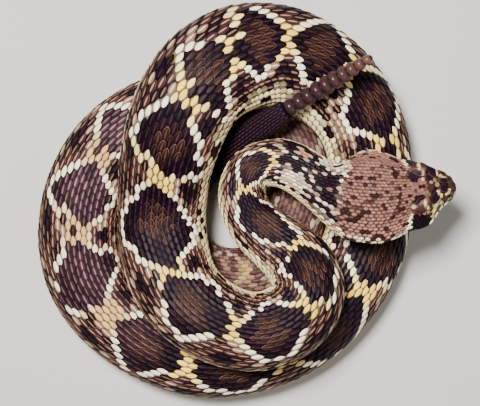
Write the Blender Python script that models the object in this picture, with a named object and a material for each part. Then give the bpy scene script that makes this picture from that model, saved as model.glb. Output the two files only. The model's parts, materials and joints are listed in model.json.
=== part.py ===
# Eastern diamondback rattlesnake (Crotalus adamanteus), life size, coiled at rest as in the photo.
# Blender 4.5. Sizes below are in millimetres and become metres when a mesh is made. +Z is up,
# the floor is Z = 0 and the snout points along +X.
# The body is one long tapering tube laid along a route. Where two lengths of it press on each
# other, both are flattened against a shared face, and the lowest lengths are flattened on the floor.

import math

import bmesh
import bpy
import numpy as np
from mathutils import Matrix, Vector

MM = 0.001
GAP = 0.3  # clearance between neighbouring pieces
RING_STEP = 9.0  # distance between cross-sections along the outside of the body
SIDES = 20  # points around a cross-section
BACK_HEIGHT = 0.84  # height above the middle of the section, as a share of its half width
BELLY_HEIGHT = 0.82  # depth below it
SQUARENESS = 2.25  # superellipse power of the section
CENTRE = (0.6, -0.4)  # middle of the outline seen from above, which goes to the origin

HEAD_LENGTH = 64.0
HEAD_ROLL = math.radians(20)  # the right cheek is turned up a little
HEAD_TOWARD = (1.0, 0.06, 0.02)  # direction from the back of the head to the snout
CHEEK_BOW = 2.6  # the right cheek, pressed on the coil, bulges further than the left
BODY_LENGTHS = 14
TAIL_LENGTH = 108.0
NECK_LENGTH = 92.0
RATTLE_SEGMENTS = 10
FIRST_SEGMENT = 6.5  # length of the rattle's newest segment
SEGMENT_LOSS = 0.02  # how fast the older segments get shorter
EYE_RADIUS = 3.3

TAIL_END = (27, 55.3, 58.8)
# The route of the body's middle line from the back of the head to the rattle, read off the photo
# from above. Heights come from what each length lies on.
ROUTE = [
    # inside the head, then the neck going left over the tail
    (92, 6, 64), (61.5, 4, 62.5), (53, 7, 60), (45, 12.5, 57), (35, 20.5, 53.5), (24, 25, 51),
    (13, 25, 50.5),
    # the small S of the neck, down across the middle of the coil
    (5, 20, 49), (0, 11, 48), (1, 1, 47), (5, -9, 46), (14, -18, 45), (25, -26, 45), (34, -34, 47),
    # the turn back to the left, on top of the outer ring
    (41, -44, 51), (41, -56, 54), (35, -66, 55.5), (14, -77, 55), (-15, -71, 53),
    # the upper ring, clockwise: left side, top, right side down to the floor
    (-39, -50, 44), (-48, -13, 35), (-47, 5, 38), (-45, 23, 46), (-40, 40, 54), (-33, 58, 57),
    (-23, 73, 55), (-7, 85, 50), (10, 89, 45), (27, 88, 41), (56, 72, 33), (75, 45, 25),
    (80, 8, 20), (77, -26, 19),
    # the outer ring, all on the floor
    (57, -61, 19), (31, -83, 19), (-3, -94, 19), (-30, -94, 19), (-68, -77, 19), (-93, -50, 19),
    (-100, -18, 19), (-92, 16, 18.8), (-74, 41, 18), (-43, 58, 17),
    # the thinner hind body on the floor, mostly hidden under the upper ring and the neck
    (-9, 62, 16.2), (24, 53, 15.2), (39, 25, 15), (35, -8, 14), (18, -41, 11.8),
    (-14, -44, 10), (-33, -28, 9.2), (-36, -10, 9), (-34, 6, 10.5),
    # the tail climbs between the neck and the upper ring, and carries the rattle over it
    (-24, 19, 15.5), (-10, 29, 24.5), (2, 37.5, 34.5), (12, 45.0, 45.5), (20, 50.8, 53.8),
    TAIL_END, (46, 65.6, 62.8), (80.5, 83.6, 65.5),
]

# Half width of each segment of the rattle, from the tail outwards.
RATTLE_GIRTH = [(0, 5.6), (3, 6.2), (5, 6.1), (6, 5.6), (7, 4.8), (8, 4.0), (9, 3.0)]

# Half width of the body at distances from the back of the head.
GIRTH = [
    (0, 25.0), (4, 21.2), (8, 17.6), (13, 15.6), (20, 15.0), (50, 14.7), (66, 13.6), (90, 15.2),
    (118, 18.6), (150, 22.2), (200, 23.6), (260, 26.4), (320, 27.4), (370, 30.0), (415, 32.2),
    (450, 31.2), (500, 28.0), (560, 26.7), (640, 26.2), (860, 26.2), (930, 24.6), (1000, 22.4),
    (1070, 21.4), (1110, 18.0), (1150, 15.2), (1190, 13.0), (1240, 10.9), (1262, 9.7), (1278, 8.2),
    (1290, 6.8), (1300, 5.8), (1312, 5.5),
]


def clear_scene():
    for obj in list(bpy.data.objects):
        bpy.data.objects.remove(obj, do_unlink=True)


def material(name, colour, roughness):
    mat = bpy.data.materials.new(name)
    mat.use_nodes = True
    shader = mat.node_tree.nodes["Principled BSDF"]
    shader.inputs["Base Color"].default_value = (*colour, 1.0)
    shader.inputs["Roughness"].default_value = roughness
    shader.inputs["Metallic"].default_value = 0.0
    return mat


def unit(v):
    return v / np.linalg.norm(v, axis=-1, keepdims=True)


def ease(values, passes):
    # Each pass moves every inner value halfway to the mean of its neighbours.
    out = values.copy()
    for _ in range(passes):
        out[1:-1] += 0.5 * (0.5 * (out[:-2] + out[2:]) - out[1:-1])
    return out


def even(curve, step):
    along = np.concatenate([[0.0], np.cumsum(np.linalg.norm(np.diff(curve, axis=0), axis=1))])
    places = np.linspace(0.0, along[-1], int(round(along[-1] / step)) + 1)
    return np.stack([np.interp(places, along, curve[:, k]) for k in range(3)], axis=1), places


def through(points):
    # Centripetal Catmull-Rom curve through the route points.
    ends = np.vstack([2 * points[0] - points[1], points, 2 * points[-1] - points[-2]])
    curve = []
    for p0, p1, p2, p3 in zip(ends, ends[1:], ends[2:], ends[3:]):
        t1 = np.linalg.norm(p1 - p0) ** 0.5
        t2 = t1 + np.linalg.norm(p2 - p1) ** 0.5
        t3 = t2 + np.linalg.norm(p3 - p2) ** 0.5
        for t in np.linspace(t1, t2, 24, endpoint=False):
            a1 = ((t1 - t) * p0 + t * p1) / t1
            a2 = ((t2 - t) * p1 + (t - t1) * p2) / (t2 - t1)
            a3 = ((t3 - t) * p2 + (t - t2) * p3) / (t3 - t2)
            b1 = ((t2 - t) * a1 + t * a2) / t2
            b2 = ((t3 - t) * a2 + (t - t1) * a3) / (t3 - t1)
            curve.append(((t2 - t) * b1 + (t - t1) * b2) / (t2 - t1))
    curve.append(points[-1])
    return np.array(curve)


class Body:
    """The backbone at even stations 2 mm apart, with its frame, half width and bend."""

    def __init__(self):
        points = np.array(ROUTE, float) - np.array([*CENTRE, 0.0])
        curve, _ = even(through(points), 2.0)
        curve, places = even(ease(curve, 30), 2.0)
        back = int(np.argmin(np.linalg.norm(curve - points[1], axis=1)))
        self.points = curve[back:]
        self.along = places[back:] - places[back]
        self.tangent = unit(np.gradient(self.points, axis=0))
        up = np.array([0.0, 0.0, 1.0]) - self.tangent[:, 2:] * self.tangent
        self.up = unit(up)
        self.left = np.cross(self.tangent, self.up)
        self.bend = np.gradient(self.tangent, self.along, axis=0)
        keys = np.array(GIRTH)
        end = np.linalg.norm(self.points - (np.array(TAIL_END) - (*CENTRE, 0.0)), axis=1)
        self.tail_end = float(self.along[np.argmin(end)])
        self.half = ease(np.interp(self.along, keys[:, 0], keys[:, 1]), 10)

    def at(self, place):
        """Every quantity at one distance from the back of the head."""
        def pick(values):
            if values.ndim == 1:
                return float(np.interp(place, self.along, values))
            return np.array([np.interp(place, self.along, values[:, k]) for k in range(3)])
        return pick(self.points), unit(pick(self.tangent)), unit(pick(self.up)), \
            unit(pick(self.left)), pick(self.bend), pick(self.half)


def soft_min(a, b, width):
    overlap = np.maximum(width - np.abs(a - b), 0.0) / width
    return np.minimum(a, b) - overlap * overlap * width / 4


def ring(body, place, angles):
    """One cross-section, pressed in by its neighbours, its own bend and the floor."""
    centre, _, up, left, bend, half = body.at(place)
    across = np.sign(np.sin(angles)) * np.abs(np.sin(angles)) ** (2 / SQUARENESS)
    rise = np.sign(np.cos(angles)) * np.abs(np.cos(angles)) ** (2 / SQUARENESS)
    flat = 0.80 + 0.20 * min(1.0, place / 25)  # the neck is flatter where it meets the head
    rise = rise * flat * np.where(rise > 0, BACK_HEIGHT, BELLY_HEIGHT)
    out = half * (across[:, None] * left + rise[:, None] * up)
    reach = np.linalg.norm(out, axis=1)
    ray = out / reach[:, None]

    # Other lengths of body: the shared face divides the distance between the two middle lines
    # in the ratio of their half widths.
    to_other = body.points - centre
    distance = np.linalg.norm(to_other, axis=1)
    sums = half + body.half
    near = (np.abs(body.along - place) > 2.2 * sums) & (distance < 1.25 * sums)
    if near.any():
        toward = to_other[near] / distance[near][:, None]
        room = distance[near] * half / sums[near] - GAP
        facing = ray @ toward.T
        limit = np.where(facing > 0.05, room / np.maximum(facing, 0.05), 1e6).min(axis=1)
        reach = soft_min(reach, limit, 3.0)
    # The inside of a tight bend stops short of the bend's own middle.
    inward = ray @ bend
    limit = np.where(inward > 1e-4, 0.86 / np.maximum(inward, 1e-4), 1e6)
    reach = soft_min(reach, limit, 2.0)
    # The floor.
    down = -ray[:, 2]
    limit = np.where(down > 1e-3, centre[2] / np.maximum(down, 1e-3), 1e6)
    reach = soft_min(reach, limit, 0.08 * half)
    return centre, centre + reach[:, None] * ray


def loft(name, rings, start, end, mat, smooth_angle=60):
    """A closed solid through rings of points, with a fan at each end."""
    sides = len(rings[0])
    origin = np.mean([np.mean(r, axis=0) for r in rings], axis=0)
    bm = bmesh.new()
    rows = [[bm.verts.new((p - origin) * MM) for p in r] for r in rings]
    first = bm.verts.new((start - origin) * MM)
    last = bm.verts.new((end - origin) * MM)
    for a, b in zip(rows, rows[1:]):
        for k in range(sides):
            n = (k + 1) % sides
            bm.faces.new((a[k], a[n], b[n], b[k]))
    for k in range(sides):
        n = (k + 1) % sides
        bm.faces.new((first, rows[0][n], rows[0][k]))
        bm.faces.new((last, rows[-1][k], rows[-1][n]))
    bmesh.ops.recalc_face_normals(bm, faces=bm.faces)
    obj = finish(bm, name, mat, smooth_angle)
    obj.location = origin * MM
    return obj


def finish(bm, name, mat, smooth_angle):
    for face in bm.faces:
        face.smooth = True
    for edge in bm.edges:
        if len(edge.link_faces) == 2:
            edge.smooth = edge.calc_face_angle(0.0) < math.radians(smooth_angle)
    mesh = bpy.data.meshes.new(name)
    bm.to_mesh(mesh)
    bm.free()
    mesh.materials.append(mat)
    obj = bpy.data.objects.new(name, mesh)
    bpy.context.scene.collection.objects.link(obj)
    return obj


def body_length(body, name, begin, finish_at, mat):
    angles = np.linspace(0, 2 * math.pi, SIDES, endpoint=False)
    # Rings stand closer where the body bends, so that the outside of the bend stays round.
    here = (body.along >= begin) & (body.along <= finish_at)
    stretch = 1 + np.mean(body.half[here] * np.linalg.norm(body.bend[here], axis=1))
    count = int(math.ceil((finish_at - begin) * stretch / RING_STEP)) + 1
    places = np.linspace(begin + GAP / 2, finish_at - GAP / 2, count)
    made = [ring(body, place, angles) for place in places]
    return loft(name, [points for _, points in made], made[0][0], made[-1][0], mat)


def key(table, x):
    return float(np.interp(x, [row[0] for row in table], [row[1] for row in table]))


# Head profiles at distances from the snout: half width at the lips, half width at the brow line,
# top and underside above and below the mouth line.
LIP = [(0, 4.2), (2, 6.8), (6, 10.1), (12, 14.2), (18, 18.2), (24, 21.4), (30, 23.2), (36, 26.3),
       (44, 29.2), (50, 29.4), (57, 28.4), (61, 26.8), (64, 24.6)]
BROW = [(0, 2.6), (2, 5.0), (6, 7.8), (12, 10.6), (20, 13.2), (27, 13.8), (34, 15.2), (44, 18.6),
        (54, 18.8), (64, 16.5)]
TOP = [(0, 5.4), (2, 7.8), (6, 9.8), (12, 11.2), (20, 12.2), (28, 12.6), (40, 13.6), (52, 14.4),
       (64, 15.2)]
UNDER = [(0, 3.6), (2, 5.2), (6, 6.6), (12, 7.8), (20, 8.8), (30, 10.2), (42, 12.0), (54, 12.8),
         (64, 13.4)]
# The right upper lip stands out further than the left under the eye.
RIGHT_FLARE = [(9, 0.0), (12, 1.6), (15, 3.4), (20, 2.6), (25, 0.5), (30, 0.0)]


def cheek_bow(d):
    return CHEEK_BOW * math.sin(math.pi * min(1.0, max(0.0, (d - 8) / 56)))


def head_section(d):
    """Points of the head's outline at one distance from the snout, from the crown round by the
    snake's left to the chin and back up by its right."""
    lip, brow, top, under = key(LIP, d), key(BROW, d), key(TOP, d), key(UNDER, d)
    groove = 1.0 if 1.0 < d < 50 else 0.25  # the mouth line runs back to under the cheek

    def side(lip):
        return [
            (0.32 * brow, top),
            (0.66 * brow, 0.985 * top),
            (0.90 * brow, 0.94 * top),
            (brow, 0.84 * top),
            (brow + 0.30 * (lip - brow), 0.62 * top),
            (brow + 0.72 * (lip - brow), 0.36 * top),
            (lip, 0.13 * top),
            (0.99 * lip, 0.45),
            (0.99 * lip - groove, 0.0),
            (0.97 * lip, -0.45),
            (0.93 * lip, -0.32 * under),
            (0.80 * lip, -0.70 * under),
            (0.50 * lip, -0.95 * under),
        ]

    right = [(-y, z) for y, z in reversed(side(lip + key(RIGHT_FLARE, d)))]
    return [(0.0, top)] + side(lip) + [(0.0, -under)] + right


def blob(centre, radii, segments=20):
    """A closed ball of given radii, used to add brow plates and to cut sockets and pits."""
    bm = bmesh.new()
    bmesh.ops.create_uvsphere(bm, u_segments=segments, v_segments=segments // 2, radius=1.0)
    bmesh.ops.scale(bm, vec=[r * MM for r in radii], verts=bm.verts)
    bmesh.ops.translate(bm, vec=[c * MM for c in centre], verts=bm.verts)
    mesh = bpy.data.meshes.new("tool")
    bm.to_mesh(mesh)
    bm.free()
    obj = bpy.data.objects.new("tool", mesh)
    bpy.context.scene.collection.objects.link(obj)
    return obj


def combine(target, tool, operation):
    step = target.modifiers.new("step", "BOOLEAN")
    step.operation = operation
    step.solver = "EXACT"
    step.object = tool
    bpy.context.view_layer.update()
    shaped = bpy.data.meshes.new_from_object(
        target.evaluated_get(bpy.context.evaluated_depsgraph_get()))
    target.modifiers.clear()
    old = target.data
    target.data = shaped
    bpy.data.meshes.remove(old)
    bpy.data.objects.remove(tool, do_unlink=True)


def head_frame(body):
    """The head's own axes: X to the snout, Z out of the crown, rolled to show the right cheek."""
    centre, tangent, _, _, _, _ = body.at(0.0)
    forward = unit(np.array(HEAD_TOWARD))
    side = unit(np.cross((0.0, 0.0, 1.0), forward))
    up = np.cross(forward, side)
    crown = math.cos(HEAD_ROLL) * up + math.sin(HEAD_ROLL) * side
    side = np.cross(crown, forward)
    base = centre - tangent * GAP / 2 - crown * 0.9
    frame = Matrix((
        (forward[0], side[0], crown[0], base[0] * MM),
        (forward[1], side[1], crown[1], base[1] * MM),
        (forward[2], side[2], crown[2], base[2] * MM),
        (0, 0, 0, 1)))
    square = frame.to_3x3().inverted() @ Vector(-tangent)
    return frame, square


def build_head(body, skin, eye_mat):
    frame, square = head_frame(body)
    # The head's own X runs from the back of the head (0) to the snout (HEAD_LENGTH).
    places = [0.0, 0.9, 2.2, 4, 6.5, 9.5, 13, 17, 21, 25, 29, 33, 37, 41, 45, 49, 52, 55, 58, 61, 64]
    rings = []
    for d in reversed(places):
        # The back of the head is turned bit by bit to face the neck squarely.
        turn = max(0.0, (d - 34) / 30) ** 1.5
        bow = cheek_bow(d)
        section = []
        for y, z in head_section(d):
            lean = (square[1] * y + square[2] * (z - 0.9)) / square[0]
            section.append((HEAD_LENGTH - d - turn * lean, y - bow, z))
        rings.append(np.array(section))
    snout = np.array([HEAD_LENGTH + 0.7, 0.0, 1.2])
    back = np.array([0.0, 0.0, 0.9])
    head = loft("head", rings, back, snout, skin, 50)
    head.data.transform(Matrix.Translation(head.location))
    head.location = (0, 0, 0)

    eye_at, shift = HEAD_LENGTH - 19.0, cheek_bow(19.0)
    for sign in (1, -1):
        plate = blob((eye_at - 0.5, sign * 10.6 - shift, 11.6), (7.2, 4.4, 1.7))
        combine(head, plate, "UNION")
    for sign in (1, -1):
        socket = (eye_at, sign * 12.9 - shift, 6.9)
        combine(head, blob(socket, [EYE_RADIUS + GAP + 0.05] * 3), "DIFFERENCE")
        combine(head, blob((HEAD_LENGTH - 10.5, sign * 12.6, 5.4), (1.7, 1.6, 1.3), 12), "DIFFERENCE")
        combine(head, blob((HEAD_LENGTH - 3.4, sign * 7.3, 6.3), (1.1, 1.0, 0.9), 10), "DIFFERENCE")
    head.matrix_world = frame

    eyes = []
    for sign, name in ((1, "eye_left"), (-1, "eye_right")):
        bm = bmesh.new()
        bmesh.ops.create_uvsphere(bm, u_segments=20, v_segments=12, radius=EYE_RADIUS * MM)
        eye = finish(bm, name, eye_mat, 80)
        eye.parent = head
        eye.location = (eye_at * MM, (sign * 12.9 - shift) * MM, 6.9 * MM)
        eyes.append(eye)
    return head, eyes


def build_rattle(body, mat):
    """Horny segments, each a swollen ring with a waist before the next, smaller towards the tip."""
    centre, tangent, up, left, _, _ = body.at(body.tail_end)
    base = centre + tangent * GAP / 2
    lengths = [FIRST_SEGMENT - SEGMENT_LOSS * k * k for k in range(RATTLE_SEGMENTS)]
    swell = [0.80, 1.00, 0.97, 0.74]
    spots = [0.10, 0.40, 0.68, 0.94]
    angles = np.linspace(0, 2 * math.pi, 16, endpoint=False)
    rings = []
    for k in range(RATTLE_SEGMENTS):
        size = key(RATTLE_GIRTH, k)
        for share, spot in zip(swell, spots):
            where = base + tangent * (sum(lengths[:k]) + spot * lengths[k])
            if k == 0 and spot == spots[0]:
                where = base
            groove = 1.0 - 0.10 * np.abs(np.sin(angles)) ** 8
            out = np.outer(np.sin(angles) * groove, left) + np.outer(np.cos(angles) * 1.12, up)
            rings.append(where + size * share * out)
    tip = base + tangent * (sum(lengths) + 0.6)
    return loft("rattle", rings, base, tip, mat, 70)


def main():
    clear_scene()
    bpy.context.scene.unit_settings.system = "METRIC"
    skin = material("scaled_skin", (0.12, 0.085, 0.06), 0.6)
    crown = material("head_skin", (0.30, 0.22, 0.17), 0.6)
    black = material("tail_skin", (0.012, 0.010, 0.012), 0.55)
    horn = material("rattle_horn", (0.10, 0.055, 0.045), 0.4)
    wet = material("eye_gloss", (0.10, 0.07, 0.03), 0.08)

    body = Body()
    tail_start = body.tail_end - TAIL_LENGTH
    build_head(body, crown, wet)
    body_length(body, "neck", 0.0, NECK_LENGTH, skin)
    cuts = np.linspace(NECK_LENGTH, tail_start, BODY_LENGTHS + 1)
    for k in range(BODY_LENGTHS):
        body_length(body, "body_%02d" % (k + 1), cuts[k], cuts[k + 1], skin)
    body_length(body, "tail", tail_start, body.tail_end, black)
    build_rattle(body, horn)


main()
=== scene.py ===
# Eastern diamondback rattlesnake, life size, coiled at rest as in the photo: its skin, scales, eyes
# and rattle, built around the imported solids. Blender 4.5. Sizes are in millimetres and become metres
# when a mesh is made. +Z is up, the floor is Z = 0 and the snout points along +X.

import json
import math

import bmesh
import bpy
import numpy as np
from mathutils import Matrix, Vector
from mathutils.bvhtree import BVHTree

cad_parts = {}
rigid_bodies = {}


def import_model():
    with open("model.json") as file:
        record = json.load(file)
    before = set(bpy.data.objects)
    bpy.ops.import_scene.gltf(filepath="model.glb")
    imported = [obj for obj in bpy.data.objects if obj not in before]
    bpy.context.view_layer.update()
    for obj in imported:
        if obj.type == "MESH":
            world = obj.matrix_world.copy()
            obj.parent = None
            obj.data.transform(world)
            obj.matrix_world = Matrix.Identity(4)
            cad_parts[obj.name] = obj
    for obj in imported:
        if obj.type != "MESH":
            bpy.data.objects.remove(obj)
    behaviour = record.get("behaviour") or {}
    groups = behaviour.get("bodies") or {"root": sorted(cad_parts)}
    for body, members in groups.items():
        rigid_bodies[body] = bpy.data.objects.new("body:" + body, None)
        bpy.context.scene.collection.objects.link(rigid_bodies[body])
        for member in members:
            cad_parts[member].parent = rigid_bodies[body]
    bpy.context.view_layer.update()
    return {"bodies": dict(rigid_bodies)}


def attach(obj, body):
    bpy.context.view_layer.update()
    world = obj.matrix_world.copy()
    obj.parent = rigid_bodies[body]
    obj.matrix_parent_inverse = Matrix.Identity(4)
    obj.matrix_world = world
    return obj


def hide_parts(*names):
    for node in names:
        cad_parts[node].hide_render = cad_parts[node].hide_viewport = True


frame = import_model()
MM = 0.001

# The photographer's place. The camera looks straight down over the middle of the coil, with the top of
# the picture along +Y, and takes in a fixed width of the floor.
CAMERA_HEIGHT = 0.8
FLOOR_IN_VIEW = 0.3072
SENSOR_WIDTH = 36.0
camera = bpy.data.objects.new("camera", bpy.data.cameras.new("camera"))
bpy.context.scene.collection.objects.link(camera)
camera.location = (-0.0006, 0.0004, CAMERA_HEIGHT)
camera.data.sensor_fit = "HORIZONTAL"
camera.data.sensor_width = SENSOR_WIDTH
camera.data.lens = SENSOR_WIDTH * CAMERA_HEIGHT / FLOOR_IN_VIEW
camera.data.clip_start = 0.05
bpy.context.scene.camera = camera

# The body's middle line and girth, as in the solids. The line runs from inside the head through the
# small S of the neck, the upper ring, the outer ring on the floor and the hidden hind body to the
# raised tail, which carries the rattle.
ROUTE = [
    (92, 6, 64), (61.5, 4, 62.5), (53, 7, 60), (45, 12.5, 57), (35, 20.5, 53.5), (24, 25, 51),
    (13, 25, 50.5),
    (5, 20, 49), (0, 11, 48), (1, 1, 47), (5, -9, 46), (14, -18, 45), (25, -26, 45), (34, -34, 47),
    (41, -44, 51), (41, -56, 54), (35, -66, 55.5), (14, -77, 55), (-15, -71, 53),
    (-39, -50, 44), (-48, -13, 35), (-47, 5, 38), (-45, 23, 46), (-40, 40, 54), (-33, 58, 57),
    (-23, 73, 55), (-7, 85, 50), (10, 89, 45), (27, 88, 41), (56, 72, 33), (75, 45, 25),
    (80, 8, 20), (77, -26, 19),
    (57, -61, 19), (31, -83, 19), (-3, -94, 19), (-30, -94, 19), (-68, -77, 19), (-93, -50, 19),
    (-100, -18, 19), (-92, 16, 18.8), (-74, 41, 18), (-43, 58, 17),
    (-9, 62, 16.2), (24, 53, 15.2), (39, 25, 15), (35, -8, 14), (18, -41, 11.8),
    (-14, -44, 10), (-33, -28, 9.2), (-36, -10, 9), (-34, 6, 10.5),
    (-24, 19, 15.5), (-10, 29, 24.5), (2, 37.5, 34.5), (12, 45.0, 45.5), (20, 50.8, 53.8),
    (27, 55.3, 58.8), (46, 65.6, 62.8), (80.5, 83.6, 65.5),
]
TAIL_END = (27, 55.3, 58.8)
CENTRE = np.array([0.6, -0.4, 0.0])
GIRTH = [
    (0, 25.0), (4, 21.2), (8, 17.6), (13, 15.6), (20, 15.0), (50, 14.7), (66, 13.6), (90, 15.2),
    (118, 18.6), (150, 22.2), (200, 23.6), (260, 26.4), (320, 27.4), (370, 30.0), (415, 32.2),
    (450, 31.2), (500, 28.0), (560, 26.7), (640, 26.2), (860, 26.2), (930, 24.6), (1000, 22.4),
    (1070, 21.4), (1110, 18.0), (1150, 15.2), (1190, 13.0), (1240, 10.9), (1262, 9.7), (1278, 8.2),
    (1290, 6.8), (1300, 5.8), (1312, 5.5),
]
GAP = 0.3


def unit(v):
    """The same directions, one long."""
    return v / np.linalg.norm(v, axis=-1, keepdims=True)


def ease(values, passes):
    """Values smoothed along the body, with both ends kept."""
    out = values.copy()
    for _ in range(passes):
        out[1:-1] += 0.5 * (0.5 * (out[:-2] + out[2:]) - out[1:-1])
    return out


def even(curve, step):
    """The same curve with its points at even distances, and how far along it each lies."""
    walked = np.concatenate([[0.0], np.cumsum(np.linalg.norm(np.diff(curve, axis=0), axis=1))])
    places = np.linspace(0.0, walked[-1], int(round(walked[-1] / step)) + 1)
    return np.stack([np.interp(places, walked, curve[:, k]) for k in range(3)], axis=1), places


def through(points):
    """A smooth curve through the route's points, led by how far apart they lie."""
    ends = np.vstack([2 * points[0] - points[1], points, 2 * points[-1] - points[-2]])
    made = []
    for p0, p1, p2, p3 in zip(ends, ends[1:], ends[2:], ends[3:]):
        t1 = np.linalg.norm(p1 - p0) ** 0.5
        t2 = t1 + np.linalg.norm(p2 - p1) ** 0.5
        t3 = t2 + np.linalg.norm(p3 - p2) ** 0.5
        for t in np.linspace(t1, t2, 24, endpoint=False):
            a1 = ((t1 - t) * p0 + t * p1) / t1
            a2 = ((t2 - t) * p1 + (t - t1) * p2) / (t2 - t1)
            a3 = ((t3 - t) * p2 + (t - t2) * p3) / (t3 - t2)
            b1 = ((t2 - t) * a1 + t * a2) / t2
            b2 = ((t3 - t) * a2 + (t - t1) * a3) / (t3 - t1)
            made.append(((t2 - t) * b1 + (t - t1) * b2) / (t2 - t1))
    made.append(points[-1])
    return np.array(made)


route = np.array(ROUTE, float) - CENTRE
SPINE_STEP = 2.0
curve = even(through(route), SPINE_STEP)[0]
curve, along = even(ease(curve, 30), SPINE_STEP)
nape = int(np.argmin(np.linalg.norm(curve - route[1], axis=1)))
spine = curve[nape:]
along = along[nape:] - along[nape]
tangent = unit(np.gradient(spine, axis=0))
back_way = unit(np.array([0.0, 0.0, 1.0]) - tangent[:, 2:] * tangent)
left_way = np.cross(tangent, back_way)
bend = np.gradient(tangent, along, axis=0)
tail_end = float(along[np.argmin(np.linalg.norm(spine - (np.array(TAIL_END) - CENTRE), axis=1))])
half_width = ease(np.interp(along, *np.array(GIRTH).T), 10)

# The snake's skin: one closed hide from snout to tail, half a millimetre inside the solids, so that
# the scales stand on it. It is laid out as a grid of rings, each walked from belly to belly, and the
# ring's start follows the roll of the back, which leans outwards on the right of the coil.
COLUMNS = 96
RING_STEP = 1.8
SCALE_DEPTH = 0.5
ACROSS = np.linspace(-0.5, 0.5, COLUMNS + 1)  # 0 along the back, + on the snake's left, 0.5 the belly
ROLL = [
    (0, 0.044), (25, 0.02), (60, 0.015), (77, -0.03), (100, -0.058), (128, -0.065), (145, -0.03),
    (163, -0.012), (207, 0.012), (257, 0.02), (290, -0.015), (330, 0.0), (385, 0.012), (405, 0.0),
    (438, -0.05), (460, -0.075), (608, -0.08), (667, -0.045), (722, -0.035), (777, 0.0), (832, 0.01),
    (880, -0.005), (1060, 0.0), (1130, 0.04), (1200, 0.0),
]
HEAD_LENGTH = 64.0
HEAD_ROLL = math.radians(20)
CHEEK_BOW = 2.6
LIP = [(0, 4.2), (2, 6.8), (6, 10.1), (12, 14.2), (18, 18.2), (24, 21.4), (30, 23.2), (36, 26.3),
       (44, 29.2), (50, 29.4), (57, 28.4), (61, 26.8), (64, 24.6)]
BROW = [(0, 2.6), (2, 5.0), (6, 7.8), (12, 10.6), (20, 13.2), (27, 13.8), (34, 15.2), (44, 18.6),
        (54, 18.8), (64, 16.5)]
TOP = [(0, 5.4), (2, 7.8), (6, 9.8), (12, 11.2), (20, 12.2), (28, 12.6), (40, 13.6), (52, 14.4),
       (64, 15.2)]
UNDER = [(0, 3.6), (2, 5.2), (6, 6.6), (12, 7.8), (20, 8.8), (30, 10.2), (42, 12.0), (54, 12.8),
         (64, 13.4)]
RIGHT_FLARE = [(9, 0.0), (12, 1.6), (15, 3.4), (20, 2.6), (25, 0.5), (30, 0.0)]  # of the right upper lip


def key(table, x):
    """A value read off a table of places and values."""
    return np.interp(x, *np.array(table, float).T)


def soft_min(a, b, width):
    """The smaller of two lengths, rounded off where they cross."""
    overlap = np.maximum(width - np.abs(a - b), 0.0) / width
    return np.minimum(a, b) - overlap * overlap * width / 4


def body_ring(place, angles):
    """One outline of the body, pressed in by its neighbours, its own bend and the floor."""
    def at(values):
        return np.array([np.interp(place, along, values[:, k]) for k in range(3)])
    centre, up, left, here_bend = at(spine), unit(at(back_way)), unit(at(left_way)), at(bend)
    half = float(np.interp(place, along, half_width))
    power = 2 / 2.25
    out_side = np.sign(np.sin(angles)) * np.abs(np.sin(angles)) ** power
    out_up = np.sign(np.cos(angles)) * np.abs(np.cos(angles)) ** power
    out_up = out_up * (0.80 + 0.20 * min(1.0, place / 25)) * np.where(out_up > 0, 0.84, 0.82)
    out = half * (out_side[:, None] * left + out_up[:, None] * up)
    reach = np.linalg.norm(out, axis=1)
    ray = out / reach[:, None]
    to_other = spine - centre
    distance = np.linalg.norm(to_other, axis=1)
    sums = half + half_width
    near = (np.abs(along - place) > 2.2 * sums) & (distance < 1.25 * sums)
    if near.any():
        toward = to_other[near] / distance[near][:, None]
        room = distance[near] * half / sums[near] - GAP
        facing = ray @ toward.T
        limit = np.where(facing > 0.05, room / np.maximum(facing, 0.05), 1e6).min(axis=1)
        reach = soft_min(reach, limit, 3.0)
    inward = ray @ here_bend
    limit = np.where(inward > 1e-4, 0.86 / np.maximum(inward, 1e-4), 1e6)
    reach = soft_min(reach, limit, 2.0)
    down = -ray[:, 2]
    limit = np.where(down > 1e-3, centre[2] / np.maximum(down, 1e-3), 1e6)
    reach = soft_min(reach, limit, 0.08 * half)
    return centre + (reach - SCALE_DEPTH)[:, None] * ray


def walk_round(outline, start):
    """Points at even distances round a closed outline, and the distance round to each of its own."""
    closed = np.vstack([outline, outline[:1]])
    walked = np.concatenate([[0.0], np.cumsum(np.linalg.norm(np.diff(closed, axis=0), axis=1))])
    places = np.mod(ACROSS + start, 1.0) * walked[-1]
    return np.stack([np.interp(places, walked, closed[:, k]) for k in range(3)], axis=1), walked


def cheek_bow(d):
    """How far the head bows to its right, at a distance behind the snout."""
    return CHEEK_BOW * math.sin(math.pi * min(1.0, max(0.0, (d - 8) / 56)))


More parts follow.
